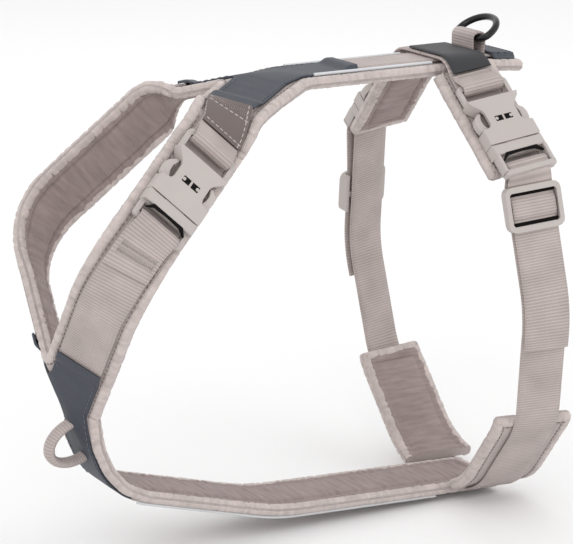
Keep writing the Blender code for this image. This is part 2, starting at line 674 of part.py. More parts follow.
def make_latch(name, matrix, end, looks):
    """One latch arm. end is +1 or -1, the side of the buckle across the strap that it is on."""
    px, py = LATCH_PIVOT
    shoulder, tip = WINDOW[1] - 2 * RUN_GAP, WINDOW[0] + 2 * RUN_GAP
    arm, ear = SHOULDER_INNER - 2 * RUN_GAP, BUCKLE_WIDTH / 2 + 0.8 * MM
    root_in, root_out = py - 1.1 * MM, py + 1.7 * MM
    outline = [
        (px, root_out), (shoulder, arm), (shoulder, ear - 1.1 * MM), (shoulder - 2.4 * MM, ear - 0.3 * MM),
        ((shoulder + tip) / 2, ear), (tip + 2.4 * MM, ear - 0.9 * MM), (tip, arm - 0.4 * MM),
        (tip + 0.4 * MM, arm - 2.2 * MM), (tip + 3.9 * MM, arm - 0.6 * MM),
        (shoulder - 3.6 * MM, arm - 0.8 * MM), (shoulder, arm - 2.6 * MM), (px, root_in),
    ]
    outline = [(x - px, end * (y - py)) for x, y in outline]
    place = matrix @ Matrix.Translation((px, end * py, 0))
    low, high = BUCKLE_WALL + RUN_GAP, BUCKLE_THICK - BUCKLE_WALL - RUN_GAP
    block(name, [(outline, low, high)], looks["plastic"], place)


def make_buckle(prefix, matrix, looks):
    """A whole buckle. Its latch arms are named by the end of the dog that they face."""
    make_socket(f"{prefix}_socket", matrix, looks)
    make_plug(f"{prefix}_plug", matrix, looks)
    for end in (1, -1):
        across = matrix.to_3x3() @ Vector((0, end, 0))
        where = "rear" if across.x > 0 else "front"
        make_latch(f"{prefix}_latch_{where}", matrix, end, looks)


def make_slider(name, matrix, looks):
    """Its end bars lie over both strands, and its middle bar between them. Z = 0 is the dog's body."""
    half, edge, clear = SLIDER_LENGTH / 2, SLIDER_WIDTH / 2, BAR_LENGTH / 2
    top = STRAND_OUT + WEBBING_THICK / 2 + RUN_GAP
    low = STRAND_IN + WEBBING_THICK / 2 + RUN_GAP
    under, past = (low - 1 * MM, low + SLIDER_BAR + 0.5 * MM), half + 1 * MM
    plan = rounded(-half, half, edge, 4 * MM)
    body = block(name, [(plan, low, top + SLIDER_RAIL)], looks["plastic"], matrix)
    cuts = [
        (rectangle(-past, past, clear), low + SLIDER_BAR, top),
        (rectangle(-past, -SLIDER_BAR_HALF, clear), *under),
        (rectangle(SLIDER_BAR_HALF, past, clear), *under),
        (rounded(SLIDER_END - half, half - SLIDER_END, clear, 1.5 * MM), top - 1 * MM, top + 5 * MM),
    ]
    for k, cut in enumerate(cuts):
        combine(body, block(f"{name}_cut_{k}", [cut], looks["plastic"], matrix), "DIFFERENCE")


def d_outline(half, depth, corner):
    """The middle line of a D, from the +Y end of its bar, on X = 0, round the bow to the other end."""
    arcs = (
        ((corner, half - corner), (corner, corner), (180, 90), 4),
        ((corner, 0), (depth - corner, half), (90, -90), 10),
        ((corner, corner - half), (corner, corner), (270, 180), 4),
    )
    outline = []
    for (cx, cy), (rx, ry), (first, last), steps in arcs:
        for k in range(steps):
            angle = math.radians(first + (last - first) * k / steps)
            outline.append((cx + rx * math.cos(angle), cy + ry * math.sin(angle)))
    return outline + [(0, corner - half)]


def make_ring(routes, looks):
    """The D-ring, with its origin on the straight bar that turns in the webbing loop."""
    back = routes["back"]
    wire = RING_WIRE / 2
    bar_at = RING_AT - WITHERS_AT
    turn = wire + LAYER_GAP + WEBBING_THICK / 2
    mid = LAYER_2 + RING_HEIGHT
    foot = LAYER_1 + WEBBING_THICK / 2 + LAYER_GAP
    line = [(bar_at - turn, foot)]
    steps = 8
    for k in range(steps + 1):
        angle = math.pi * k / steps
        line.append((bar_at - turn * math.cos(angle), mid + turn * math.sin(angle)))
    line.append((bar_at + turn, foot))
    webbing("ring_loop", back, line, looks, RING_LOOP_WIDTH)

    sides = 8
    centre = d_outline(RING_INNER[0] / 2 + wire, RING_INNER[1] + RING_WIRE, RING_CORNER)
    bm = bmesh.new()
    rings = []
    for i, (x, y) in enumerate(centre):
        onward = Vector(centre[(i + 1) % len(centre)]) - Vector(centre[i - 1])
        aside = Vector((onward.y, -onward.x, 0)).normalized()
        ring = []
        for k in range(sides):
            angle = 2 * math.pi * (k + 0.5) / sides
            around = aside * math.cos(angle) + Vector((0, 0, math.sin(angle)))
            ring.append(bm.verts.new(Vector((x, y, 0)) + around * wire))
        rings.append(ring)
    for i, ring in enumerate(rings):
        after = rings[(i + 1) % len(rings)]
        for k in range(sides):
            bm.faces.new((ring[k], after[k], after[(k + 1) % sides], ring[(k + 1) % sides]))
    place = back.matrix(bar_at, mid) @ Matrix.Rotation(math.radians(-RING_REST), 4, "Y")
    ring = add_object("d_ring", bm, looks["ring"], place)
    ring.data.shade_smooth()


# ---------------------------------------------------------------- assembly

def main():
    for obj in list(bpy.data.objects):
        bpy.data.objects.remove(obj)
    looks = make_finishes()
    routes = {"back": back_route(), "belly": belly_route()}
    for side in (LEFT, RIGHT):
        routes["neck", side] = neck_route(side)
        routes["girth", side] = girth_route(side)

    # A buckle is placed by its mouth, a slider by its middle.
    buckle_at = {("neck", LEFT): routes["neck", LEFT].straight[1][0] + SOCKET_LENGTH + 11 * MM}
    slider_at = {}
    for side in (LEFT, RIGHT):
        girth = routes["girth", side]
        buckle_at["girth", side] = girth.straight[1][1] - PLUG_LENGTH
        slider_at[side] = girth.straight[2][0] + SLIDER_LENGTH / 2 + SLIDER_DROP[side]

    make_forks(routes, looks)
    make_back(routes, looks)
    make_neck(routes, looks, buckle_at)
    make_chest(routes, looks)
    make_girth(routes, looks, buckle_at, slider_at)
    make_ring(routes, looks)
    make_buckle("neck_buckle", routes["neck", LEFT].matrix(buckle_at["neck", LEFT], BUCKLE_BASE), looks)
    for side in (LEFT, RIGHT):
        girth = routes["girth", side]
        name = SIDE_NAME[side]
        make_buckle(f"girth_buckle_{name}", girth.matrix(buckle_at["girth", side], BUCKLE_BASE), looks)
        make_slider(f"girth_slider_{name}", girth.matrix(slider_at[side], 0), looks)


main()
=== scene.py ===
# %% [markdown]
# A no pull dog harness of ribbed webbing on soft padding, with side release buckles, sliders, a D-ring
# on the back and a leash loop at the chest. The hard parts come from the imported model, in metres, and
# every soft part is built here again in the same places, with its real surface.

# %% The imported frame
import bisect
import json
import math
import random

import bmesh
import bpy
from mathutils import Matrix, Vector, noise

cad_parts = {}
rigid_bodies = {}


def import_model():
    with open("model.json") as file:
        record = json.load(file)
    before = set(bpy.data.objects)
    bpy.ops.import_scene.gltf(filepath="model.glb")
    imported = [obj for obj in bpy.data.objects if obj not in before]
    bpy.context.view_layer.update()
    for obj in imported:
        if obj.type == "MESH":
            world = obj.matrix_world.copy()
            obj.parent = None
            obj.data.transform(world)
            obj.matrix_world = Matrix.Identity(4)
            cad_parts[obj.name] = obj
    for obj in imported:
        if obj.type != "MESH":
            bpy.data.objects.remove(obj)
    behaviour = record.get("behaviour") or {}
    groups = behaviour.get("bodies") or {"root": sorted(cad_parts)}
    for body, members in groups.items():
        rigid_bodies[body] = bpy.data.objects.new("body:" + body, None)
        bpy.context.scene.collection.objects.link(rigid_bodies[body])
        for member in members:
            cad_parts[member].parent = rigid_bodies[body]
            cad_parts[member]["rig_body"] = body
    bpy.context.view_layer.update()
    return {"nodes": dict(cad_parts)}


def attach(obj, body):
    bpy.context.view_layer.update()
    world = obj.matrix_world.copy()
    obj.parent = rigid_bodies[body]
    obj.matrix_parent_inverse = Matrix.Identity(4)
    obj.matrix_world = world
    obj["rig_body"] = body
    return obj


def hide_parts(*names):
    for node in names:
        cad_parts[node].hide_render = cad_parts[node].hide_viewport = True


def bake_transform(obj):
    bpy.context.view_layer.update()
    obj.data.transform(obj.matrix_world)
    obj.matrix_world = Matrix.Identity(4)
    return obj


for startup in list(bpy.data.objects):
    bpy.data.objects.remove(startup)
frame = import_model()
MM = 0.001

# %% [markdown]
# The camera stands in front of the dog's left shoulder, a little above the back. A long lens keeps the
# near and the far straps at nearly the same scale, as in a catalogue picture.

# %% Camera, light and floor
AZIMUTH, ELEVATION, DISTANCE = math.radians(-30), math.radians(15), 1.3
backwards = Vector((math.sin(AZIMUTH) * math.cos(ELEVATION), -math.cos(AZIMUTH) * math.cos(ELEVATION),
                    math.sin(ELEVATION)))
AIM = Vector((-0.0447, -0.0005, -0.1017))
camera_data = bpy.data.cameras.new("camera")
camera_data.lens, camera_data.sensor_width = 153.5, 36
camera = bpy.data.objects.new("camera", camera_data)
camera.location = AIM + backwards * DISTANCE
camera.rotation_euler = backwards.to_track_quat("Z", "Y").to_euler()
bpy.context.scene.collection.objects.link(camera)
bpy.context.scene.camera = camera
bpy.context.scene.view_settings.view_transform = "Standard"

world = bpy.data.worlds.new("studio")
world.use_nodes = True
world.node_tree.nodes["Background"].inputs["Color"].default_value = (1, 1, 1, 1)
world.node_tree.nodes["Background"].inputs["Strength"].default_value = 1.0
bpy.context.scene.world = world
for name, place, size, power in (
    ("key", (-0.9, -1.0, 1.1), 0.9, 5),
    ("fill", (0.9, -1.1, 0.3), 1.2, 2),
    ("back_light", (0.5, 1.2, 0.9), 1.2, 2),
):
    light = bpy.data.lights.new(name, "AREA")
    light.size, light.energy = size, power
    lamp = bpy.data.objects.new(name, light)
    lamp.location = place
    lamp.rotation_euler = (Vector(place) - AIM).to_track_quat("Z", "Y").to_euler()
    bpy.context.scene.collection.objects.link(lamp)
print("camera at", [round(c, 3) for c in camera.location])

# %% [markdown]
# A real harness is a few layers of fabric that follow the dog's body. So a strap is laid out on a
# route: straight runs joined by arcs, with a direction along the strap, one across it and one out from
# the body. Every soft piece is then a place along, across and out on such a route, and a change to a
# route moves all that is sewn on it.

# %% Sizes of the harness
CHEST_DEPTH, CHEST_HALF = 234 * MM, 84 * MM
GIRTH_AT, GIRTH_LEAN, GIRTH_TOE_IN = 51 * MM, 19 * MM, 13
NECK_HALF, NECK_DEPTH, NECK_REACH = 53 * MM, 152 * MM, 110 * MM
WITHERS_AT, BACK_END, BELLY_END = -62 * MM, 91 * MM, 82 * MM
WEBBING_WIDTH, WEBBING_THICK = 25 * MM, 1.8 * MM
PAD_WIDTH, BACK_PAD_WIDTH, WING_WIDTH = 36 * MM, 41 * MM, 43 * MM
PAD_THICK, PATCH_THICK, PATCH_MARGIN = 5 * MM, 1.2 * MM, 5 * MM
PIPING_WIDTH, PIPING_GAP, LAYER_GAP = 2 * MM, 2 * MM, 0.4 * MM
BUCKLE_THICK = 8.4 * MM
SOCKET_LENGTH, PLUG_LENGTH, BAR_SIZE, BAR_THICK = 39 * MM, 16 * MM, 3 * MM, 2.4 * MM
SLIDER_LENGTH, SLIDER_BAR, SLIDER_DROP = 24 * MM, 1.8 * MM, {-1: 0.5 * MM, 1: 25 * MM}
RING_WIRE, RING_INNER, RING_CORNER, RING_HEIGHT, RING_REST = 3.8 * MM, (24 * MM, 13 * MM), 5 * MM, 7 * MM, 36
RING_LOOP_WIDTH, RING_AT = 20 * MM, GIRTH_AT + 18 * MM
LEASH_SPAN, LEASH_RISE, LEASH_AT = 20 * MM, 14 * MM, 22 * MM
LAYER_1 = PAD_THICK + LAYER_GAP + WEBBING_THICK / 2
LAYER_2 = LAYER_1 + WEBBING_THICK + LAYER_GAP
PATCH_BASE = LAYER_1 + WEBBING_THICK / 2 + LAYER_GAP
BUCKLE_BASE = PAD_THICK + 2 * LAYER_GAP
BAR_MID = BUCKLE_BASE + 3.8 * MM
BAR_TURN = math.hypot(BAR_SIZE, BAR_THICK) / 2 + 0.5 * MM + WEBBING_THICK / 2
STRAND_IN = LAYER_1
STRAND_OUT = STRAND_IN + WEBBING_THICK + SLIDER_BAR + 0.6 * MM
LEFT, RIGHT = -1, 1
SIDE_NAME = {LEFT: "left", RIGHT: "right"}
YOKE_LEGS, CHEST_LEGS = {LEFT: 38 * MM, RIGHT: 36 * MM}, {LEFT: 34 * MM, RIGHT: 36 * MM}
TUCK, YOKE_TRUNK, CHEST_TRUNK = 4 * MM, 53 * MM, 58 * MM
ARC_STEP, ARC_PARTS = 9, 4


# %% Routes
def square_to(vector, direction):
    return (vector - direction * vector.dot(direction)).normalized()


class Route:
    """Straight runs joined by arcs, measured along chords of 9 degrees, as the CAD does."""

    def __init__(self, corners, radii, outs, side=RIGHT):
        self.side = side
        corners = [Vector((x, side * y, z)) for x, y, z in corners]
        runs = [(b - a).normalized() for a, b in zip(corners, corners[1:])]
        outs = [square_to(Vector((x, side * y, z)), run) for (x, y, z), run in zip(outs, runs)]
        self.points, self.alongs, self.outs, self.at, self.straight = [], [], [], [], []
        start, scale = corners[0], 1
        for i, run in enumerate(runs):
            last = i == len(runs) - 1
            turn = 0 if last else run.angle(runs[i + 1])
            tangent = 0 if last else radii[i] * math.tan(turn / 2)
            end = corners[i + 1] - run * tangent
            self.add(start, run, outs[i], scale)
            begun = self.at[-1]
            self.add(end, run, outs[i])
            self.straight.append((begun, self.at[-1]))
            if last:
                break
            centre = corners[i + 1] + (runs[i + 1] - run).normalized() * radii[i] / math.cos(turn / 2)
            start = corners[i + 1] + runs[i + 1] * tangent
            coarse = max(2, round(math.degrees(turn) / ARC_STEP))
            steps = coarse * ARC_PARTS
            scale = math.sin(turn / coarse / 2) / ARC_PARTS / math.sin(turn / steps / 2)
            for k in range(1, steps):
                early = math.sin((1 - k / steps) * turn) / math.sin(turn)
                late = math.sin(k / steps * turn) / math.sin(turn)
                along = run * early + runs[i + 1] * late
                out = square_to(outs[i].lerp(outs[i + 1], k / steps), along)
                self.add(centre + (end - centre) * early + (start - centre) * late, along, out, scale)

    def add(self, point, along, out, scale=1):
        distance = (point - self.points[-1]).length * scale if self.points else 0
        self.at.append(self.at[-1] + distance if self.at else 0)
        self.points.append(point)
        self.alongs.append(along)
        self.outs.append(out)

    @property
    def length(self):
        return self.at[-1]

    def frame(self, distance):
        """The point and the along, across and out directions, a distance from the route's start."""
        i = min(max(bisect.bisect_right(self.at, distance) - 1, 0), len(self.at) - 2)
        share = (distance - self.at[i]) / (self.at[i + 1] - self.at[i])
        point = self.points[i].lerp(self.points[i + 1], share)
        share = min(max(share, 0), 1)
        along = self.alongs[i].lerp(self.alongs[i + 1], share).normalized()
        out = self.outs[i].lerp(self.outs[i + 1], share).normalized()
        return point, along, self.side * along.cross(out), out

    def place(self, distance, across, out):
        point, _, aside, normal = self.frame(distance)
        return point + aside * across + normal * out

    def matrix(self, distance, out):
        point, along, _, normal = self.frame(distance)
        turned = Matrix((along, normal.cross(along), normal)).transposed().to_4x4()
        return Matrix.Translation(point + normal * out) @ turned


def neck_route(side):
    meet = WITHERS_AT - NECK_REACH
    corners = [(WITHERS_AT, 6 * MM, 0), (WITHERS_AT - 0.335 * NECK_REACH, 0.585 * NECK_HALF, -0.062 * NECK_DEPTH),
               (WITHERS_AT - 0.98 * NECK_REACH, NECK_HALF, -0.49 * NECK_DEPTH), (meet, 0, -NECK_DEPTH)]
    return Route(corners, [24 * MM, 40 * MM], [(-0.1, 0.3, 1), (-0.18, 0.96, 0.12), (-0.8, 0.5, -0.3)], side)


def girth_route(side):
    flat = BACK_PAD_WIDTH / 2
    yz = [(-flat, 0), (flat + 1 * MM, 0), (0.84 * CHEST_HALF, -0.21 * CHEST_DEPTH), (CHEST_HALF, -0.50 * CHEST_DEPTH),
          (0.85 * CHEST_HALF, -0.77 * CHEST_DEPTH), (0.40 * CHEST_HALF, -0.97 * CHEST_DEPTH), (0, -CHEST_DEPTH)]
    lean, toe_in = (0, 0, 0.3, 0.56, 0.86, 1, 1), (0, 0.4, 1, 1, 0.6, 0)
    corners = [(GIRTH_AT + GIRTH_LEAN * share, y, z) for share, (y, z) in zip(lean, yz)]
    outs = []
    for share, (y0, z0), (y1, z1) in zip(toe_in, yz, yz[1:]):
        outward, angle = Vector((0, z0 - z1, y1 - y0)).normalized(), math.radians(share * GIRTH_TOE_IN)
        outs.append(tuple(outward * math.cos(angle) - Vector((1, 0, 0)) * math.sin(angle)))
    return Route(corners, [7 * MM, 4 * MM, 60 * MM, 40 * MM, 40 * MM], outs, side)


MEET = WITHERS_AT - NECK_REACH
back = Route([(WITHERS_AT, 0, 0), (RING_AT, 0, 0), (BACK_END, 0, -2 * MM)], [40 * MM], [(0, 0, 1)] * 2)
belly = Route([(MEET, 0, -NECK_DEPTH), (MEET + 19 * MM, 0, -0.85 * CHEST_DEPTH),
               (MEET + 112 * MM, 0, -0.965 * CHEST_DEPTH),
               (BELLY_END, 0, -CHEST_DEPTH)], [34 * MM, 110 * MM], [(-0.93, 0, -0.35), (-0.3, 0, -1), (0, 0, -1)])
neck = {side: neck_route(side) for side in (LEFT, RIGHT)}
girth = {side: girth_route(side) for side in (LEFT, RIGHT)}
neck_mouth = neck[LEFT].straight[1][0] + SOCKET_LENGTH + 11 * MM
girth_mouth = girth[LEFT].straight[1][1] - PLUG_LENGTH
slider_at = {side: girth[side].straight[2][0] + SLIDER_LENGTH / 2 + SLIDER_DROP[side] for side in (LEFT, RIGHT)}
print("strap lengths", [round(r.length / MM) for r in (back, belly, neck[LEFT], girth[LEFT])])

# %% [markdown]
# Surface effects that several finishes share are node groups. Weave reads the strap's own map, in
# metres across and along it, so that its ribs follow the strap round every bend. Mottle and grain read
# the place on the object, because dye and leather grain do not care where a strap goes. Gather is the
# fine pull of the stitching: creases that run across the strap, close together along it.

# %% Shared surface effects
def link(tree, source, target):
    tree.links.new(source, target)


def new_group(name, inputs, outputs):
    tree = bpy.data.node_groups.new(name, "ShaderNodeTree")
    for label, value in inputs:
        tree.interface.new_socket(label, in_out="INPUT", socket_type="NodeSocketFloat").default_value = value
    for label in outputs:
        tree.interface.new_socket(label, in_out="OUTPUT", socket_type="NodeSocketFloat")
    return tree, tree.nodes.new("NodeGroupInput"), tree.nodes.new("NodeGroupOutput")


def math_node(tree, operation, first, second=None):
    made = tree.nodes.new("ShaderNodeMath")
    made.operation = operation
    for socket, value in zip(made.inputs, (first, second)):
        if isinstance(value, (int, float)):
            socket.default_value = value
        elif value is not None:
            link(tree, value, socket)
    return made.outputs[0]


weave, gave, gives = new_group("weave", [("Rib pitch", 1.5 * MM), ("Yarn pitch", 0.9 * MM), ("Rib share", 0.7)],
                               ["Height"])
uv = weave.nodes.new("ShaderNodeUVMap")
uv.uv_map = "cloth"
parts = weave.nodes.new("ShaderNodeSeparateXYZ")
link(weave, uv.outputs[0], parts.inputs[0])
wave = []
for axis, pitch in (("Y", "Rib pitch"), ("X", "Yarn pitch")):
    turns = math_node(weave, "DIVIDE", parts.outputs[axis], gave.outputs[pitch])
    sine = math_node(weave, "SINE", math_node(weave, "MULTIPLY", turns, 2 * math.pi))
    wave.append(math_node(weave, "MULTIPLY_ADD", sine, 0.5))
    wave[-1].node.inputs[2].default_value = 0.5
ribs = math_node(weave, "MULTIPLY", wave[0], gave.outputs["Rib share"])
yarns = math_node(weave, "MULTIPLY", wave[1], math_node(weave, "SUBTRACT", 1, gave.outputs["Rib share"]))
link(weave, math_node(weave, "ADD", ribs, yarns), gives.inputs["Height"])


def place_noise(tree, scale, detail, kind="ShaderNodeTexNoise"):
    where = tree.nodes.new("ShaderNodeTexCoord")
    made = tree.nodes.new(kind)
    link(tree, where.outputs["Object"], made.inputs["Vector"])
    link(tree, scale, made.inputs["Scale"])
    if kind == "ShaderNodeTexNoise":
        made.inputs["Detail"].default_value = detail
    return made.outputs[0]


mottle, gave, gives = new_group("mottle", [("Patches per metre", 60), ("Fibres per metre", 2500)], ["Tone", "Fuzz"])
link(mottle, place_noise(mottle, gave.outputs["Patches per metre"], 3), gives.inputs["Tone"])
link(mottle, place_noise(mottle, gave.outputs["Fibres per metre"], 2), gives.inputs["Fuzz"])

grain, gave, gives = new_group("grain", [("Cells per metre", 1400)], ["Height"])
cells = place_noise(grain, gave.outputs["Cells per metre"], 0, "ShaderNodeTexVoronoi")
link(grain, cells, gives.inputs["Height"])
gather, gave, gives = new_group("gather", [("Spacing", 2.4 * MM), ("Reach", 16 * MM)], ["Height"])
uv = gather.nodes.new("ShaderNodeUVMap")
uv.uv_map = "cloth"
parts, joined = gather.nodes.new("ShaderNodeSeparateXYZ"), gather.nodes.new("ShaderNodeCombineXYZ")
link(gather, uv.outputs[0], parts.inputs[0])
for k, pitch in ((0, "Reach"), (1, "Spacing")):
    link(gather, math_node(gather, "DIVIDE", parts.outputs[k], gave.outputs[pitch]), joined.inputs[k])
crease = gather.nodes.new("ShaderNodeTexNoise")
crease.inputs["Scale"].default_value, crease.inputs["Detail"].default_value = 1, 2
link(gather, joined.outputs[0], crease.inputs["Vector"])
sharp = math_node(gather, "MULTIPLY_ADD", crease.outputs[0], 2.4)
sharp.node.inputs[2].default_value = -0.7
sharp.node.use_clamp = True
link(gather, sharp, gives.inputs["Height"])
print("groups", [g.name for g in bpy.data.node_groups])

# %% [markdown]
# Each finish is one Principled shader. The fabric ones take their tone from the mottle, which is real dye, and
# from the weave and gathers, whose hollows are painted darker as painted shade; their bump comes from the weave and the
# loose fibres. The moulded plastic has a fine satin skin, and the ring is gloss black paint.


# %% Finishes
def tinted(colour, share):
    return (*[min(1, c * share) for c in colour], 1)


def finish(name, colour, roughness, effects=(), depth=0.3, tone=0.18, sheen=0.0, metallic=0.0, coat=0.0, specular=0.5):
    """effects are (group, {input: value}, how much of the height it gives); each group's Height output is used."""
    made = bpy.data.materials.new(name)
    made.use_nodes = True
    tree = made.node_tree
    shader = tree.nodes["Principled BSDF"]
    shader.inputs["Roughness"].default_value = roughness
    shader.inputs["Metallic"].default_value = metallic
    shader.inputs["Sheen Weight"].default_value = sheen
    shader.inputs["Coat Weight"].default_value = coat
    shader.inputs["Specular IOR Level"].default_value = specular
    mix = tree.nodes.new("ShaderNodeMix")
    mix.data_type = "RGBA"
    mix.inputs["A"].default_value, mix.inputs["B"].default_value = tinted(colour, 1 - tone), tinted(colour, 1 + tone)
    blot = tree.nodes.new("ShaderNodeGroup")
    blot.node_tree = mottle
    total, tone_and_painted_shade = math_node(tree, "MULTIPLY", blot.outputs["Fuzz"], 0.25), math_node(tree, "MULTIPLY",
                                                                                      blot.outputs["Tone"], 0.6)
    for group, values, share in effects:
        node = tree.nodes.new("ShaderNodeGroup")
        node.node_tree = group
        for label, value in values.items():
            node.inputs[label].default_value = value
        # Each height also sets the colour, lighter on crests and darker in hollows. This is painted shade in the
        # hollows of the weave and gathers and grain tone on leather and plastic, added to the mottle's real tone.
        high = math_node(tree, "MULTIPLY", node.outputs["Height"], share)
        total, tone_and_painted_shade = math_node(tree, "ADD", total, high), math_node(tree, "ADD", tone_and_painted_shade,
                                                                      math_node(tree, "MULTIPLY", high, 0.5))
    link(tree, tone_and_painted_shade, mix.inputs["Factor"])
    link(tree, mix.outputs["Result"], shader.inputs["Base Color"])
    bump = tree.nodes.new("ShaderNodeBump")
    bump.inputs["Strength"].default_value, bump.inputs["Distance"].default_value = depth, 0.3 * MM
    link(tree, total, bump.inputs["Height"])
    link(tree, bump.outputs["Normal"], shader.inputs["Normal"])
    made.diffuse_color = tinted(colour, 1)
    return made


plain_weave = (weave, {"Rib pitch": 0.8 * MM, "Yarn pitch": 0.8 * MM, "Rib share": 0.5}, 0.6)
rib_weave = (weave, {"Rib pitch": 1.5 * MM, "Yarn pitch": 0.9 * MM, "Rib share": 0.8}, 1.0)
# On the webbing, lining and binding the tone swing darkens the rib and crease hollows: painted shade, on top of the
# mottle.
looks = {
    "facing": finish("pad_facing", (0.430, 0.370, 0.354), 0.85, [plain_weave], sheen=0.2),
    "lining": finish("padded_lining", (0.265, 0.210, 0.200), 0.9, [plain_weave, (gather, {}, 1.0)], depth=0.9,
                     sheen=0.1, tone=0.32),
    "binding": finish("edge_binding", (0.480, 0.415, 0.395), 0.8,
            [plain_weave, (gather, {"Spacing": 3.2 * MM, "Reach": 9 * MM}, 1.0)], depth=0.9, sheen=0.2, tone=0.3),
    "webbing": finish("ribbed_webbing", (0.400, 0.342, 0.325), 0.75, [rib_weave], depth=0.5, tone=0.42, sheen=0.1),
    "patch": finish("slate_facing", (0.045, 0.051, 0.066), 0.6, [(grain, {}, 1.0)], depth=0.45, tone=0.25),
    "tab": finish("brown_tape", (0.150, 0.117, 0.109), 0.6, [plain_weave], tone=0.2),
    "label": finish("charcoal_label", (0.022, 0.023, 0.027), 0.6, [(grain, {"Cells per metre": 2600}, 0.6)],
                    depth=0.3, tone=0.2),
    # The piping's fine grain also speckles its colour: a painted sparkle of the glass beads, besides their bump and
    # coat.
    "piping": finish("reflective_piping", (0.66, 0.67, 0.69), 0.35, [(grain, {"Cells per metre": 6000}, 0.8)],
                     depth=0.5, tone=0.12, coat=0.3),
    "plastic": finish("taupe_plastic", (0.470, 0.425, 0.403), 0.42, [(grain, {"Cells per metre": 3500}, 0.4)],
                      depth=0.12, tone=0.06),
    "ring": finish("black_metal", (0.006, 0.006, 0.007), 0.2, depth=0.03, tone=0.3, specular=0.3, coat=0.15),
    "thread": finish("light_thread", (0.56, 0.50, 0.475), 0.6, tone=0.12, sheen=0.2),
    # Painted shadow: dark beads along the binding's inner edge, where the gap between binding and pad is in shade.
    "dark_thread": finish("dark_thread", (0.20, 0.165, 0.155), 0.6, tone=0.15),
    "grey_thread": finish("grey_thread", (0.115, 0.125, 0.150), 0.55, tone=0.12),
    # Painted shade: a near-black finish for plates set in openings and under parts, where only shade falls.
    "painted_shadow_plate": finish("moulded_shadow", (0.008, 0.007, 0.007), 0.9, tone=0.1, specular=0.1),
}
print(len(looks), "finishes")

# %% [markdown]
# Webbing, tape, pads and bindings are all one thing to model: a closed outline carried along a line.
# An outline for each station, instead of one for the whole strap, lets the surface carry real ribs,
# pleats and sewn channels, which a Solidify on a flat band could not.

# %% Sweeping an outline along a strap
def add_mesh(name, points, faces, maps, slots, materials):
    """A plain mesh object. maps gives each point its place across and along, slots a material number for each face."""
    mesh = bpy.data.meshes.new(name)
    mesh.from_pydata(points, [], faces)
    layer = mesh.uv_layers.new(name="cloth")
    for loop in mesh.loops:
        layer.data[loop.index].uv = maps[loop.vertex_index]
    for material in materials:
        mesh.materials.append(looks[material])
    for polygon, number in zip(mesh.polygons, slots):
        polygon.material_index = number
    mesh.validate()
    bm = bmesh.new()
    bm.from_mesh(mesh)
    bmesh.ops.recalc_face_normals(bm, faces=bm.faces)
    if bm.calc_volume(signed=True) < 0:
        bmesh.ops.reverse_faces(bm, faces=bm.faces)
    bm.to_mesh(mesh)
    bm.free()
    mesh.shade_smooth()
    mesh.set_sharp_from_angle(angle=math.radians(60))
    obj = bpy.data.objects.new(name, mesh)
    bpy.context.scene.collection.objects.link(obj)
    return obj


def skin(name, rings, maps, numbers, materials, closed=False):
    """Joins closed rings of points, one after another. numbers has a material number for each gap round a ring."""
    size = len(rings[0])
    points = [p for ring in rings for p in ring]
    faces, slots = [], []
    for i in range(len(rings) if closed else len(rings) - 1):
        a, b = i * size, (i + 1) % len(rings) * size
        for k in range(size):
            n = (k + 1) % size
            faces.append((a + k, a + n, b + n, b + k))
            slots.append(numbers[k])
    if not closed:
        faces += [tuple(range(size)), tuple(range(len(points) - size, len(points)))]
        slots += [numbers[0], numbers[0]]
    return add_mesh(name, points, faces, [m for ring in maps for m in ring], slots, materials)


def eased(line, step, radius=4 * MM):
    """Points at an even step along a line of (along, out), with its corners rounded, as (along, out, tangent, run)."""
    line = [Vector(p) for p in line]
    full = [line[0]]
    for a, b, c in zip(line, line[1:], line[2:]):
        back_off = min(radius, 0.45 * (b - a).length, 0.45 * (c - b).length)
        p, q = b + (a - b).normalized() * back_off, b + (c - b).normalized() * back_off
        full += [p.lerp(b, t).lerp(b.lerp(q, t), t) for t in (0, 0.25, 0.5, 0.75, 1)]
    full.append(line[-1])
    runs = [0]
    for a, b in zip(full, full[1:]):
        runs.append(runs[-1] + (b - a).length)
    count = max(2, round(runs[-1] / step))
    found = []
    for k in range(count + 1):
        run = runs[-1] * k / count
        i = min(max(bisect.bisect_right(runs, run) - 1, 0), len(full) - 2)
        share = (run - runs[i]) / max(runs[i + 1] - runs[i], 1e-9)
        found.append((full[i].lerp(full[i + 1], share), run))
    made = []
    for k, (p, run) in enumerate(found):
        ahead = found[min(k + 1, count)][0] - found[max(k - 1, 0)][0]
        made.append((p.x, p.y, ahead.normalized(), run))
    return made


def band(name, route, line, step, outline, materials, numbers):
    """outline(run, k) gives the (across, height) points of station k, in order round the strap."""
    rings, maps = [], []
    for k, (s, n, tangent, run) in enumerate(eased(line, step)):
        ring = outline(run, k)
        rings.append([route.place(s - tangent.y * h, u, n + tangent.x * h) for u, h in ring])
        maps.append([(u, (k - 0.5) * step) for u, h in ring])
    return skin(name, rings, maps, numbers, materials)


def flat_outline(half, thick, inner=8):
    """Across a strap and back underneath, with rounded edges: (across, height) at unit height."""
    top = [half - 0.5 * MM - (2 * half - 1 * MM) * k / inner for k in range(inner + 1)]
    return [(u, thick / 2) for u in top] + [(-half, 0)] + [(-u, -thick / 2) for u in top] + [(half, 0)]


RIB_PITCH, RIB_HEIGHT = 1.5 * MM, 0.26 * MM


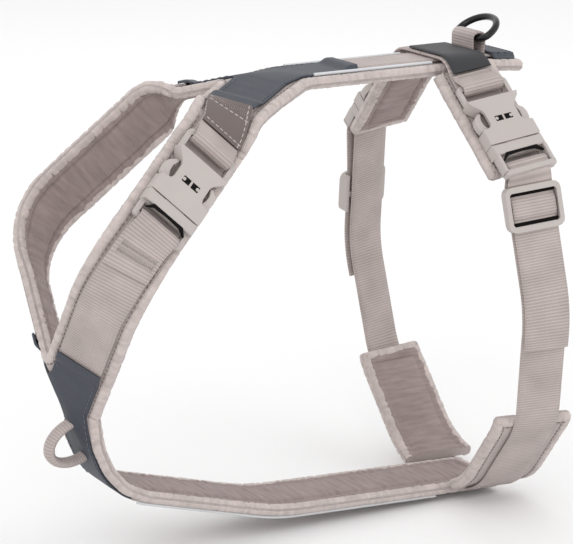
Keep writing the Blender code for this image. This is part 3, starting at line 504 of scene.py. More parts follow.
def ribbed(name, route, line, width=WEBBING_WIDTH, thick=WEBBING_THICK, rib=RIB_HEIGHT, look="webbing",
           round_shape=False):
    """Webbing whose ribs are in its surface: every other station stands a little higher."""
    shape = flat_outline(width / 2, thick - rib)
    if round_shape:
        shape = [(width / 2 * math.cos(a), (thick - rib) / 2 * math.sin(a))
                 for a in (2 * math.pi * k / 18 for k in range(18))]

    def outline(run, k):
        high = rib / 2 if k % 2 else -rib / 2
        edge = width / 2 - 1.2 * MM
        return [(u, h + math.copysign(high, h) * (abs(u) < edge) if h else 0) for u, h in shape]

    return band(name, route, line, RIB_PITCH / 2, outline, [look], [0] * len(shape))


def round_bar(s, n, direction, steps=20):
    """Webbing that goes round a bar at (s, n), from below it to above it."""
    return [(s + direction * BAR_TURN * math.sin(math.pi * k / steps), n - BAR_TURN * math.cos(math.pi * k / steps))
            for k in range(steps + 1)]


pieces = {}      # every finished piece: its object, its body and the nodes that it stands for


def keep(obj, body="root", nodes=(), slot=None, fill=None, across=None):
    pieces[obj.name] = (obj, body, nodes, slot, fill, across)
    return obj


# %% [markdown]
# The webbing: one long strap over the back, one down each side of the neck, one along the belly and two
# lengths for each side of the girth. Where a strap meets a buckle or slider it goes round the bar and
# comes back over itself, which is what really holds it.

# %% Webbing
plug_bar, socket_bar = PLUG_LENGTH - BAR_SIZE / 2, BAR_SIZE / 2 - SOCKET_LENGTH
keep(ribbed("back_webbing_sewn", back, [(YOKE_TRUNK - TUCK, LAYER_1), (back.length - 6 * MM, LAYER_1)]),
     nodes=["back_webbing"])
route = neck[RIGHT]
keep(ribbed("neck_webbing_right_sewn", route,
        [(YOKE_LEGS[RIGHT] - TUCK, LAYER_1), (route.length - CHEST_LEGS[RIGHT] + TUCK, LAYER_1)]),
                nodes=["neck_webbing_right"])
route, bar = neck[LEFT], neck_mouth + socket_bar
line = [(YOKE_LEGS[LEFT] - TUCK, LAYER_1), *round_bar(bar, BAR_MID, 1), (bar - 8 * MM, LAYER_2)]
keep(ribbed("neck_webbing_upper_sewn", route, line), nodes=["neck_webbing_upper"])
bar = neck_mouth + plug_bar
line = [(route.length - CHEST_LEGS[LEFT] + TUCK, LAYER_1), *round_bar(bar, BAR_MID, -1), (bar + 8 * MM, LAYER_2),
        (bar + 22 * MM, LAYER_2)]
ends = (route.place(route.length - CHEST_LEGS[LEFT] + TUCK, 0, LAYER_1), route.place(bar + 24 * MM, 0, LAYER_1))
keep(ribbed("neck_webbing_left_sewn", route, line), nodes=["neck_webbing_left"], across=("root", "neck_plug", *ends))
keep(ribbed("belly_webbing_sewn", belly, [(60 * MM, LAYER_1), (belly.length - 2 * MM, LAYER_1)]),
     nodes=["belly_webbing"])
centre, edge = BACK_PAD_WIDTH / 2, BACK_PAD_WIDTH
for side in (LEFT, RIGHT):
    route, name = girth[side], SIDE_NAME[side]
    corner = route.straight[1][0]
    bar, end = girth_mouth + socket_bar, LAYER_2 + LAYER_GAP
    line = [(centre + 0.3 * MM, LAYER_2), (edge, LAYER_2), (corner + 2 * MM, LAYER_1), *round_bar(bar, BAR_MID, 1),
            (bar - 6.5 * MM, end), (corner + 3 * MM, end)]
    keep(ribbed(f"girth_webbing_upper_{name}_sewn", route, line), nodes=[f"girth_webbing_upper_{name}"])
    bar = girth_mouth + plug_bar
    line = [(route.length - centre - 2 * MM, STRAND_IN), *round_bar(bar, BAR_MID, -1),
            (slider_at[side] - SLIDER_LENGTH / 2 - 0.5 * MM, STRAND_OUT), (route.straight[3][0] + 6 * MM, STRAND_OUT)]
    low_end = route.place(route.length - centre - 2 * MM, 0, STRAND_IN)
    high_end = route.place(route.straight[3][0] + 12 * MM, 0, STRAND_IN)
    keep(ribbed(f"girth_webbing_lower_{name}_sewn", route, line), nodes=[f"girth_webbing_lower_{name}"],
         across=("root", f"girth_{name}_plug", low_end, high_end))
print(len(pieces), "lengths of webbing")

# %% [markdown]
# Tape, label, piping and loops are the same sweep with other sizes. The leash loop and the loop that
# carries the ring stand up from the straps, so their side views are arches.

# %% Tape, label, piping and loops
bar = neck_mouth + socket_bar
route = neck[LEFT]
tab_line = [(YOKE_LEGS[LEFT] + 0.5 * MM, LAYER_2), (bar - 9.5 * MM, LAYER_2)]
keep(ribbed("neck_tab_sewn", route, tab_line, rib=0.04 * MM, look="tab"), nodes=["neck_tab"], slot="tab")
for side in (LEFT, RIGHT):
    name = SIDE_NAME[side]
    for strap, label, mid, line in (
        (back, "back", WEBBING_WIDTH / 2 + PIPING_GAP + PIPING_WIDTH / 2,
         [(25 * MM, LAYER_1), (GIRTH_AT - WITHERS_AT - WEBBING_WIDTH / 2 - 3 * MM, LAYER_1)]),
        (belly, "belly", BACK_PAD_WIDTH / 2 - 1 * MM - PIPING_WIDTH / 2,
         [(60 * MM, LAYER_1), (belly.length - 41 * MM, LAYER_1)]),
    ):
        shape = [(side * mid + PIPING_WIDTH / 2 * math.cos(a), WEBBING_THICK / 2 * math.sin(a))
                 for a in (2 * math.pi * k / 10 for k in range(10))]
        keep(band(f"{label}_piping_{name}_sewn", strap, line, 3 * MM, lambda run, k: shape, ["piping"], [0] * 10),
             nodes=[f"{label}_piping_{name}"], slot="piping")
high = LAYER_2 + WEBBING_THICK / 2 + LAYER_GAP + PATCH_THICK / 2
corner = girth[LEFT].straight[1][0]
line = [(centre - 12 * MM, high), (edge, high), (corner + 2 * MM, high)]
keep(ribbed("label_patch_sewn", girth[LEFT], line, WEBBING_WIDTH - 1 * MM, PATCH_THICK, 0.0, "label"),
     nodes=["label_patch"], slot="label")

bar_at = RING_AT - WITHERS_AT
turn, mid, foot = RING_WIRE / 2 + LAYER_GAP + WEBBING_THICK / 2, LAYER_2 + RING_HEIGHT, LAYER_1 + WEBBING_THICK / 2 + LAYER_GAP
line = [(bar_at - turn, foot)] + [(bar_at - turn * math.cos(a), mid + turn * math.sin(a))
                                  for a in (math.pi * k / 20 for k in range(21))] + [(bar_at + turn, foot)]
keep(ribbed("ring_loop_sewn", back, line, RING_LOOP_WIDTH), nodes=["ring_loop"])
half, foot = LEASH_SPAN / 2, PAD_THICK + 0.4 * MM
arch = [(LEASH_AT - half * math.cos(a), foot + 2 * MM + (LEASH_RISE + 1 * MM) * math.sin(a))
        for a in (math.pi * k / 24 for k in range(25))]
line = [(LEASH_AT - half, foot), *arch, (LEASH_AT + half, foot)]
keep(ribbed("leash_loop_sewn", belly, line, 9 * MM, 5 * MM, 0.45 * MM, round_shape=True), nodes=["leash_loop"])
print(len(pieces), "pieces so far")

# %% [markdown]
# The padding is foam between two fabrics. On the outside it is nearly flat, because the webbing is sewn
# over it. On the dog's side it swells between two sewn channels and the lining gathers in fine cross
# wrinkles, since it is eased round the inside of a bend. A simulation would lose such narrow channels in
# its remesh, so the swelling is a rule of the distance from the edge.

# %% Padded straps
PAD_STEP, CHANNEL_AT, CHANNEL_WIDE = 1.0 * MM, 7.2 * MM, 0.9 * MM


def cross_wrinkle(s, u, seed):
    """Fine gathers across a strap, between -1 and 1."""
    fine = noise.noise(Vector((s / (2.6 * MM), u / (15 * MM), seed)))
    broad = noise.noise(Vector((s / (11 * MM), u / (26 * MM), seed + 7)))
    return 0.65 * fine + 0.35 * broad


def outer_height(edge, s, u, seed):
    """Height of the outer face over the dog's body, an edge distance in from the rim."""
    rim = max(0, 1 - edge / (4 * MM)) ** 2
    return PAD_THICK - 0.05 * MM - 0.9 * MM * rim + 0.25 * MM * cross_wrinkle(s, u, seed + 3)


def inner_height(edge, s, u, seed):
    crown = min(1, edge / (14 * MM))
    channel = math.exp(-(((edge - CHANNEL_AT) / CHANNEL_WIDE) ** 2))
    rim = max(0, 1 - edge / (4 * MM)) ** 2
    return -0.9 * MM * crown * (2 - crown) + 1.5 * MM * channel + 0.9 * MM * rim + 1.1 * MM * cross_wrinkle(s, u,
            seed) * (1 - 0.5 * channel)


def padded_strap(name, route, start, end, width, seed, ends=(False, False)):
    """A pad along a route. ends says which of its two ends are free, and so pinched as its rims are."""
    half, columns = width / 2, 26
    rings, maps = [], []
    count = round((end - start) / PAD_STEP)
    for i in range(count + 1):
        s = start + (end - start) * i / count
        tip = min([s - start] * ends[0] + [end - s] * ends[1] + [1])
        across = [half - 2 * half * k / columns for k in range(columns + 1)]
        edges = [min(half - abs(u), tip) for u in across]
        top = [route.place(s, u, outer_height(e, s, u, seed)) for u, e in zip(across, edges)]
        low = [route.place(s, u, inner_height(e, s, u, seed)) for u, e in zip(across, edges)]
        rings.append(top + low[::-1])
        maps.append([(u, s) for u in across] + [(u, s) for u in across[::-1]])
    numbers = [0] * columns + [0] + [1] * columns + [0]
    return skin(name, rings, maps, numbers, ["facing", "lining"])


for side in (LEFT, RIGHT):
    name = SIDE_NAME[side]
    start, end = YOKE_LEGS[side] + 0.3 * MM, neck[side].length - CHEST_LEGS[side] - 0.3 * MM
    keep(padded_strap(f"neck_pad_{name}_sewn", neck[side], start, end, PAD_WIDTH, 1.3 + side),
         nodes=[f"neck_pad_{name}"], fill=0.6)
    route = girth[side]
    end = route.straight[1][1] - 3 * MM
    keep(padded_strap(f"girth_pad_{name}_sewn", route, edge + 2 * MM, end, PAD_WIDTH, 4.1 + side, (False, True)),
         nodes=[f"girth_pad_{name}"], fill=0.6)
    top = route.straight[3][1] + 9 * MM
    keep(padded_strap(f"belly_wing_{name}_sewn", route, top, route.length - centre - 1.5 * MM, WING_WIDTH, 8.2 + side,
                      (True, False)),
         nodes=[f"belly_wing_{name}"], fill=0.6)
print("pads:", [n for n in pieces if "pad" in n or "wing" in n])

# %% [markdown]
# On the back and on the chest the two neck pads grow out of one Y-shaped pad. Its legs are cut where
# they meet on the middle plane, and its trunk is a plain strip, so it is one grid of points from the
# trunk's end to each leg's end. The slate facing sewn on it is the same Y, made narrower.

# %% The Y-shaped pads and their slate facings
class Fork:
    """A Y made of a trunk and two mirrored legs. Distances along a leg are from where its middle line starts."""

    def __init__(self, trunk, reverse, half, trunk_half):
        self.trunk, self.reverse, self.half, self.trunk_half = trunk, reverse, half, trunk_half
        self.first = self.leg(0)[0].y
        self.start = BACK_PAD_WIDTH / 2 - self.first + 4 * MM
        low, high = 0, 60 * MM
        for _ in range(40):
            middle = (low + high) / 2
            point, _, across, _ = self.leg(middle)
            low, high = (middle, high) if point.y - across.y * half < 0 else (low, middle)
        self.crotch = high

    def leg(self, d):
        return neck[RIGHT].frame(neck[RIGHT].length - d if self.reverse else d)

    def on_leg(self, d, u, side):
        point, _, across, out = self.leg(d)
        cut = -point.y / across.y
        here = point + across * max(u, cut)
        out = out if u > cut else Vector((out.x, 0, out.z)).normalized()
        edge = min(self.half - u, math.hypot(self.half + u, max(0, self.crotch - d)))
        return Vector((here.x, side * here.y, here.z)), Vector((out.x, side * out.y, out.z)), edge, u, d

    def on_trunk(self, s, share, side):
        point, _, _, out = self.trunk.frame(s)
        inner = max(self.first, 5 * MM)
        y = inner + (self.trunk_half - inner) * share if share > 0 else inner * max(0, 1 + 2 * share)
        return point + Vector((0, side * y, 0)), out, self.trunk_half - y, side * y, -s

    def grids(self, trunk_end, leg_ends, columns=24, step=PAD_STEP):
        shares = [1 - 2 * k / columns for k in range(columns + 1)]
        count = round((trunk_end - self.start) / step)
        trunk_at = [self.start + (trunk_end - self.start) * k / count for k in range(count, -1, -1)]
        made = []
        for side in (LEFT, RIGHT):
            legs = [leg_ends[side] * k / round(leg_ends[side] / step) for k in range(round(leg_ends[side] / step) + 1)]
            made.append([[self.on_trunk(s, f, side) for f in shares] for s in trunk_at]
                        + [[self.on_leg(d, f * self.half, side) for f in shares] for d in legs])
        return made

    def outer(self, trunk_end, leg_end, side, inset=0.0):
        """The rim from the trunk's end to a leg's end, as (point, out)."""
        found = []
        for k in range(21):
            s = trunk_end + (self.start - trunk_end) * k / 20
            point, _, _, out = self.trunk.frame(s)
            found.append((point + Vector((0, side * (self.trunk_half - inset), 0)), out))
        return found + [self.on_leg(leg_end * (0.08 + 0.92 * k / 40), self.half - inset, side)[:2] for k in range(41)]

    def inner(self, leg_end, side, inset=0.0):
        """The inner rim from the crotch to a leg's end."""
        begin = self.crotch + 1.6 * inset
        return [self.on_leg(begin + (leg_end - begin) * k / 40, inset - self.half, side)[:2] for k in range(41)]


def sheet(name, grids, low, high, materials, trunk_end_free=None):
    """The solid between two heights over the grids of a Y."""
    index, under, over, maps, cells, uses = {}, [], [], [], [], {}
    for grid in grids:
        keys = []
        for row in grid:
            keys.append([])
            for point, out, edge, u, s in row:
                key = tuple(round(c / (0.02 * MM)) for c in point)
                if key not in index:
                    index[key] = len(under)
                    if trunk_end_free is not None and s < 0:
                        edge = min(edge, trunk_end_free + s)
                    under.append(point + out * low(edge, s, u))
                    over.append(point + out * high(edge, s, u))
                    maps.append((u, s))
                keys[-1].append(index[key])
        for a, b in zip(keys, keys[1:]):
            for j in range(len(a) - 1):
                cell = []
                for corner in (a[j], b[j], b[j + 1], a[j + 1]):
                    if corner not in cell:
                        cell.append(corner)
                if len(cell) > 2:
                    cells.append(cell)
    for cell in cells:
        for p, q in zip(cell, cell[1:] + cell[:1]):
            uses.setdefault(frozenset((p, q)), []).append((p, q))
    size = len(under)
    faces, slots = [tuple(reversed(c)) for c in cells], [len(materials) - 1] * len(cells)
    faces += [tuple(size + p for p in c) for c in cells]
    slots += [0] * len(cells)
    for edge in uses.values():
        if len(edge) == 1:
            p, q = edge[0]
            faces.append((p, q, size + q, size + p))
            slots.append(0)
    return add_mesh(name, under + over, faces, maps + maps, slots, materials)


def rounded_edges(obj, width, angle=50, segments=2):
    """Bevels an object's sharp edges and makes it a plain mesh again."""
    bevel = obj.modifiers.new("rounding", "BEVEL")
    bevel.width, bevel.segments, bevel.limit_method, bevel.angle_limit = width, segments, "ANGLE", math.radians(angle)
    bevel.harden_normals = False
    return plain(obj)


def plain(obj):
    """Turns what the modifiers make into the object's own mesh."""
    mesh = bpy.data.meshes.new_from_object(obj.evaluated_get(bpy.context.evaluated_depsgraph_get()))
    obj.modifiers.clear()
    obj.data = mesh
    return obj


patch_half = PAD_WIDTH / 2 - PATCH_MARGIN
forks, facings = {}, {}
for label, trunk, reverse, ends, trunk_end, patch, seed in (
    ("back_pad", back, False, YOKE_LEGS, YOKE_TRUNK, "yoke_patch", 11.0),
    ("belly_pad", belly, True, CHEST_LEGS, CHEST_TRUNK, "chest_patch", 15.0),
):
    forks[label] = Fork(trunk, reverse, PAD_WIDTH / 2, BACK_PAD_WIDTH / 2)
    facings[patch] = Fork(trunk, reverse, patch_half, BACK_PAD_WIDTH / 2 - PATCH_MARGIN)
    obj = sheet(f"{label}_sewn", forks[label].grids(trunk.length, ends), lambda e, s, u: inner_height(e, s, u, seed),
                lambda e, s, u: outer_height(e, s, u, seed), ["facing", "lining"], trunk.length)
    keep(obj, nodes=[label], fill=0.6)
    def draped(s, u, trunk_end=trunk_end, ends=ends):
        """The facing lies on the pad, and climbs over the webbing that is tucked under its ends."""
        near = min(ends.values()) - s if s >= 0 else trunk_end + s
        rise = min(1, max(0, 1.6 - near / (6 * MM))) if s >= 0 or trunk is back else 0
        fall = min(1, max(0, (abs(u) - 12.4 * MM) / (2 * MM)))
        return PAD_THICK + 0.2 * MM + (PATCH_BASE - PAD_THICK) * rise * rise * (3 - 2 * rise) * (1 - fall * fall * (3 - 2 * fall))

    obj = sheet(f"{patch}_sewn", facings[patch].grids(trunk_end, ends, 20, 1.5 * MM), lambda e, s, u: draped(s, u),
                lambda e, s, u: draped(s, u) + PATCH_THICK + 0.3 * MM * cross_wrinkle(s / 2, u, seed), ["patch"])
    keep(rounded_edges(obj, 0.4 * MM), nodes=[patch], slot="patch")

half, ahead, behind = (BACK_PAD_WIDTH - PATCH_MARGIN) / 2, RING_AT - WITHERS_AT + 5.5 * MM, back.length - 1 * MM
rear_cells = []
for i in range(13):
    s = ahead + (behind - ahead) * i / 12
    tip = max(0, s - (behind - 6 * MM)) / (6 * MM)
    wide = half - 6 * MM * (1 - math.sqrt(max(0, 1 - tip ** 2)))
    frame_here = back.frame(s)
    rear_cells.append([(frame_here[0] + frame_here[2] * wide * (k / 8 - 1), frame_here[3], 9, wide * (k / 8 - 1), s)
                       for k in range(17)])
def rear_height(u):
    fall = min(1, max(0, (abs(u) - 12.6 * MM) / (3 * MM)))
    return PATCH_BASE - (PATCH_BASE - PAD_THICK - 0.3 * MM) * fall * fall * (3 - 2 * fall)


obj = sheet("rear_patch_sewn", [rear_cells], lambda e, s, u: rear_height(u), lambda e, s,
            u: rear_height(u) + PATCH_THICK, ["patch"])
keep(rounded_edges(obj, 0.4 * MM), nodes=["rear_patch"], slot="patch")
print("facings", {n: round(f.crotch / MM, 1) for n, f in facings.items()})

# %% [markdown]
# The edges of the pads are bound: a folded tape wraps the rim of all layers and is sewn through. Because
# it is a flat tape taken round curves, it puckers into small pleats every centimetre or two. It is a
# sweep round the rim, and each pleat is a narrow dent that runs a little askew across the tape.

# %% Edge binding
BINDING_WIDE, BINDING_STEP = 2.7 * MM, 0.7 * MM
random.seed(7)
seam_paths = {"thread": [], "dark_thread": [], "grey_thread": []}


def even_path(path, step, closed, passes):
    """A path of (point, out) at an even step, with its corners softened."""
    path = path + path[:1] if closed else path
    runs = [0]
    for (a, _), (b, _) in zip(path, path[1:]):
        runs.append(runs[-1] + (b - a).length)
    count = round(runs[-1] / step)
    points, outs = [], []
    for k in range(count if closed else count + 1):
        run = runs[-1] * k / count
        i = min(max(bisect.bisect_right(runs, run) - 1, 0), len(path) - 2)
        share = (run - runs[i]) / max(runs[i + 1] - runs[i], 1e-9)
        points.append(path[i][0].lerp(path[i + 1][0], share))
        outs.append(path[i][1].lerp(path[i + 1][1], share).normalized())
    for _ in range(passes):
        for values in (points, outs):
            was = list(values)
            for k in range(0 if closed else 1, len(was) if closed else len(was) - 1):
                values[k] = was[k - 1] * 0.25 + was[k] * 0.5 + was[(k + 1) % len(was)] * 0.25
    return [(p, o.normalized()) for p, o in zip(points, outs)]


def with_aside(path, closed, flip):
    """Adds the direction that points away from the pad to each point of a path."""
    found = []
    for k, (p, o) in enumerate(path):
        before = path[k - 1][0] if closed or k else p
        after = path[(k + 1) % len(path)][0] if closed or k < len(path) - 1 else p
        tangent = (after - before).normalized()
        out = square_to(o, tangent)
        found.append((p, out, tangent.cross(out) * flip))
    return found


def seam(path, depth, height, thread="thread"):
    """Notes a row of beads beside a rim: stitches, or a dark line of painted shadow where the binding meets the pad."""
    seam_paths[thread].append([p - aside * depth + out * height for p, out, aside in path])


def bind(name, path, closed=False, flip=1, passes=8, deep=1.0):
    mid = PAD_THICK / 2
    path = with_aside(even_path(path, BINDING_STEP, closed, passes), closed, flip)
    length = len(path) * BINDING_STEP
    pleats, at = [], 6 * MM
    while at < length - 6 * MM:
        pleats.append((at, random.uniform(0.3, 0.8) * MM * deep, random.uniform(-2.4, 2.4) * MM))
        at += random.uniform(4, 12) * MM
    starts = [p[0] for p in pleats]
    rings, maps = [], []
    for k, (p, out, aside) in enumerate(path):
        run, ring = k * BINDING_STEP, []
        first = bisect.bisect_left(starts, run - 6 * MM)
        near = pleats[first: bisect.bisect_right(starts, run + 6 * MM)]
        for j in range(18):
            a = 2 * math.pi * j / 18
            cos, sin = math.cos(a), math.sin(a)
            swell = 0.22 * MM * noise.noise(Vector((run / (5 * MM), sin, len(pieces))))
            for where, dent, skew in near:
                swell -= dent * math.exp(-(((run - where - skew * sin) / (0.6 * MM)) ** 2)) * (0.4 + 0.6 * abs(sin))
                swell += 0.2 * dent * math.exp(-(((run - where - skew * sin) / (2.4 * MM)) ** 2))
            wide = math.copysign(abs(cos) ** 0.8, cos) * (BINDING_WIDE + swell)
            tall = math.copysign(abs(sin) ** 0.7, sin) * (mid + 0.55 * MM + swell)
            ring.append(p + aside * (wide - 1.9 * MM) + out * (mid + tall))
        rings.append(ring)
        maps.append([(2.6 * MM * 2 * math.pi * j / 18, run) for j in range(18)])
    obj = skin(name, rings, maps, [0] * 18, ["binding"], closed)
    # The two dark rows at the binding's inner edge, on both faces, are painted shadow of the gap between binding and
    # pad; the light row nearer the rim is the stitching.
    seam(path, 4.3 * MM, PAD_THICK + 0.05 * MM, "dark_thread")
    seam(path, 3.0 * MM, PAD_THICK + 0.35 * MM)
    seam(path, 4.2 * MM, 0.1 * MM, "dark_thread")
    return keep(obj, fill=0.5)


def strap_rim(route, start, end, u):
    return [(route.place(s, u, 0), route.frame(s)[3]) for s in (start + (end - start) * k / 60 for k in range(61))]


top, low = forks["back_pad"], forks["belly_pad"]
leg_length = neck[RIGHT].length
outer_loop = []
for side in (RIGHT, LEFT):
    rim = top.outer(back.length, leg_length - 6 * MM, side) + low.outer(belly.length, 6 * MM, side)[::-1]
    outer_loop += rim if side == RIGHT else rim[::-1]
bind("outer_binding", outer_loop, closed=True, passes=10)
inner_loop = []
reach = leg_length - low.crotch
for side in (RIGHT, LEFT):
    rim = top.inner(reach, side)
    inner_loop += rim if side == RIGHT else rim[::-1]
bind("neck_opening_binding", inner_loop, closed=True, flip=-1, passes=4)
for side in (LEFT, RIGHT):
    route, name = girth[side], SIDE_NAME[side]
    end = route.straight[1][1] - 3 * MM
    half = PAD_WIDTH / 2
    around = strap_rim(route, edge + 1 * MM, end, half) + strap_rim(route, end, edge + 1 * MM, -half)
    bind(f"girth_pad_{name}_binding", around, flip=side, passes=5)
    start, end, half = route.straight[3][1] + 9 * MM, route.length - centre - 2 * MM, WING_WIDTH / 2
    around = strap_rim(route, end, start, -half) + strap_rim(route, start, end, half)
    bind(f"belly_wing_{name}_binding", around, flip=side, passes=5)
print("binding", sum(len(o[0].data.vertices) for n, o in pieces.items() if n.endswith("binding")), "points")

# %% [markdown]
# Buckles and sliders are moulded in one shot of plastic, so no edge on them is sharp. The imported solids
# have the right faces but knife edges and loose triangles. A copy of each is merged, its flat faces are
# joined again, and a small bevel rounds its edges, with normals weighted so that the flats stay flat.


# %% Moulded plastic
def moulded(node, width=0.45 * MM):
    source = frame["nodes"][node]
    mesh = source.data.copy()
    bm = bmesh.new()
    bm.from_mesh(mesh)
    bmesh.ops.remove_doubles(bm, verts=bm.verts, dist=0.02 * MM)
    bmesh.ops.dissolve_limit(bm, angle_limit=math.radians(2), verts=bm.verts, edges=bm.edges)
    bm.to_mesh(mesh)
    bm.free()
    mesh.materials.clear()
    mesh.materials.append(looks["plastic"])
    for layer in list(mesh.uv_layers):
        mesh.uv_layers.remove(layer)
    mesh.shade_smooth()
    obj = bpy.data.objects.new(f"{node}_moulded", mesh)
    bpy.context.scene.collection.objects.link(obj)
    bevel = obj.modifiers.new("rounding", "BEVEL")
    bevel.width, bevel.segments, bevel.limit_method, bevel.angle_limit = width, 3, "ANGLE", math.radians(28)
    obj.modifiers.new("flats", "WEIGHTED_NORMAL")
    return keep(plain(obj), source["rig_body"], [node], "plastic")


for node in sorted(frame["nodes"]):
    if "buckle" in node or "slider" in node:
        moulded(node)


def plaque(name, matrix, outline, low, high, body, look, bevel=0.2 * MM):
    """A small rounded plate on a buckle, over an outline in the buckle's own frame."""
    bm = bmesh.new()
    face = bm.faces.new([bm.verts.new((x, y, low)) for x, y in outline])
    top = bmesh.ops.extrude_face_region(bm, geom=[face])
    bmesh.ops.translate(bm, vec=(0, 0, high - low), verts=[v for v in top["geom"] if isinstance(v, bmesh.types.BMVert)])
    bmesh.ops.bevel(bm, geom=bm.edges, offset=bevel, segments=2, affect="EDGES", profile=0.5)
    bmesh.ops.transform(bm, matrix=matrix, verts=bm.verts)
    bmesh.ops.recalc_face_normals(bm, faces=bm.faces)
    mesh = bpy.data.meshes.new(name)
    bm.to_mesh(mesh)
    bm.free()
    mesh.materials.append(looks[look])
    mesh.shade_smooth()
    mesh.set_sharp_from_angle(angle=math.radians(50))
    obj = bpy.data.objects.new(name, mesh)
    bpy.context.scene.collection.objects.link(obj)
    return keep(obj, body, slot=look)


def box_outline(x0, x1, y0, y1):
    return [(x0, y0), (x1, y0), (x1, y1), (x0, y1)]


# %% [markdown]
# The socket's face has two small windows, each with a round pin in its outer half; each window is a near-black plate of
# painted shade. The plug's thumb rest closes over the roots of the arms, and below it a near-black arch paints the
# shadow where the webbing dips in.
# They are little rounded plates in the buckle's own frame.

# %% Details of the buckles
buckles = [("neck_buckle", neck[LEFT].matrix(neck_mouth, BUCKLE_BASE), "neck_plug")]
buckles += [(f"girth_buckle_{SIDE_NAME[s]}", girth[s].matrix(girth_mouth, BUCKLE_BASE), f"girth_{SIDE_NAME[s]}_plug")
            for s in (LEFT, RIGHT)]
FACE, WINDOW_X, WINDOW_AT, WINDOW_HALF = BUCKLE_THICK, (-15.6 * MM, -12.4 * MM), 2.9 * MM, 2.3 * MM
PIN_AT, PIN_RADIUS = 1.5, 0.95 * MM    # the pin stands this many times as far out as its window
for label, matrix, plug in buckles:
    for k, y in enumerate((-WINDOW_AT, WINDOW_AT)):
        outline = box_outline(*WINDOW_X, y - WINDOW_HALF, y + WINDOW_HALF)
        # The window is a near-black plate: painted shade in the opening.
        plaque(f"{label}_window_{k}", matrix, outline, FACE - 0.5 * MM, FACE + 0.06 * MM, "root", "painted_shadow_plate", 0.03 * MM)
        middle = (WINDOW_X[0] + WINDOW_X[1]) / 2
        pin = [(middle + PIN_RADIUS * math.cos(a), PIN_AT * y + PIN_RADIUS * math.sin(a))
               for a in (2 * math.pi * j / 16 for j in range(16))]
        plaque(f"{label}_pin_{k}", matrix, pin, FACE - 0.4 * MM, FACE + 0.3 * MM, "root", "plastic", 0.2 * MM)
    outline = box_outline(0.45 * MM, 6.3 * MM, -15.2 * MM, 15.2 * MM)
    plaque(f"{label}_thumb_rest", matrix, outline, FACE - 2.2 * MM, FACE - 0.25 * MM, plug, "plastic", 0.5 * MM)
    # A near-black arch below the thumb rest: painted shadow where the webbing dips in.
    arch = [(6.1 * MM, 9.5 * MM), (9.4 * MM, 12.4 * MM), (10.2 * MM, 12.4 * MM), (7.6 * MM, 8 * MM), (7.2 * MM, 0),
            (7.6 * MM, -8 * MM),
            (10.2 * MM, -12.4 * MM), (9.4 * MM, -12.4 * MM), (6.1 * MM, -9.5 * MM)]
    plaque(f"{label}_recess", matrix, arch, FACE - 1.6 * MM, FACE - 0.15 * MM, plug, "painted_shadow_plate", 0.1 * MM)
    if label == "neck_buckle":
        continue
    for y in (-1, 1):
        rail = box_outline(6 * MM, 18.4 * MM, *sorted((y * 13.4 * MM, y * 15.6 * MM)))
        plaque(f"{label}_rail_{'rear' if y > 0 else 'front'}", matrix, rail, 2.5 * MM, 8.6 * MM, plug, "plastic",
               0.8 * MM)
    plaque(f"{label}_end_bar", matrix, box_outline(16.2 * MM, 19.4 * MM, -15.6 * MM, 15.6 * MM), 3 * MM, 8.6 * MM,
           plug, "plastic", 0.8 * MM)
print(len([n for n in pieces if "buckle" in n or "slider" in n]), "plastic pieces")

# %% [markdown]
# Inside a slider the webbing climbs over the middle bar, so a short hump shows in its window between two
# slots, each a near-black plate of painted shade. The hump rides on the slider, because webbing is fed through it when
# the girth is adjusted.

# %% The fold over each slider's middle bar
for side in (LEFT, RIGHT):
    route, mid, name = girth[side], slider_at[side], SIDE_NAME[side]
    low, high, reach = STRAND_OUT - 0.3 * MM, STRAND_OUT + 2.0 * MM, 7.4 * MM
    line = [(mid - reach, low - 0.8 * MM), (mid - 4 * MM, high), (mid + 4 * MM, high), (mid + reach, low - 0.8 * MM)]
    keep(ribbed(f"girth_slider_{name}_fold", route, line, WEBBING_WIDTH - 0.6 * MM, 1.4 * MM), f"girth_{name}_slider",
         slot="webbing")
    matrix = route.matrix(mid, STRAND_OUT)
    for k, x in (("upper", -1), ("lower", 1)):
        # Near-black plates in the slider's two slots: painted shade in the openings.
        slot = box_outline(*sorted((x * 6.9 * MM, x * 8.9 * MM)), -12.6 * MM, 12.6 * MM)
        plaque(f"girth_slider_{name}_slot_{k}", matrix, slot, 0.2 * MM, 1.25 * MM, f"girth_{name}_slider", "painted_shadow_plate",
               0.1 * MM)

# %% [markdown]
# The ring is bent from round wire, welded at its bar and painted. Its centre line is a D: a straight
# bar, two tight corners and an elliptical bow.

# %% D-ring
wire, sides = RING_WIRE / 2, 20
half, depth = RING_INNER[0] / 2 + wire, RING_INNER[1] + RING_WIRE
arcs = (((RING_CORNER, half - RING_CORNER), (RING_CORNER, RING_CORNER), (180, 90), 10),
        ((RING_CORNER, 0), (depth - RING_CORNER, half), (90, -90), 40),
        ((RING_CORNER, RING_CORNER - half), (RING_CORNER, RING_CORNER), (270, 180), 10))
bend = []
for (cx, cy), (rx, ry), (first, last), steps in arcs:
    for k in range(steps):
        a = math.radians(first + (last - first) * k / steps)
        bend.append((cx + rx * math.cos(a), cy + ry * math.sin(a)))
bend += [(0, (RING_CORNER - half) * (1 - k / 10)) for k in range(10)] + [(0, (half - RING_CORNER) * k / 10)
                                                                         for k in range(10)]
place = back.matrix(RING_AT - WITHERS_AT, LAYER_2 + RING_HEIGHT) @ Matrix.Rotation(math.radians(-RING_REST), 4, "Y")
rings = []
for i, (x, y) in enumerate(bend):
    onward = Vector(bend[(i + 1) % len(bend)]) - Vector(bend[i - 1])
    aside = Vector((onward.y, -onward.x, 0)).normalized()
    rings.append([place @ (Vector((x, y, 0)) + (aside * math.cos(a) + Vector((0, 0, math.sin(a)))) * wire)
                  for a in (2 * math.pi * k / sides for k in range(sides))])
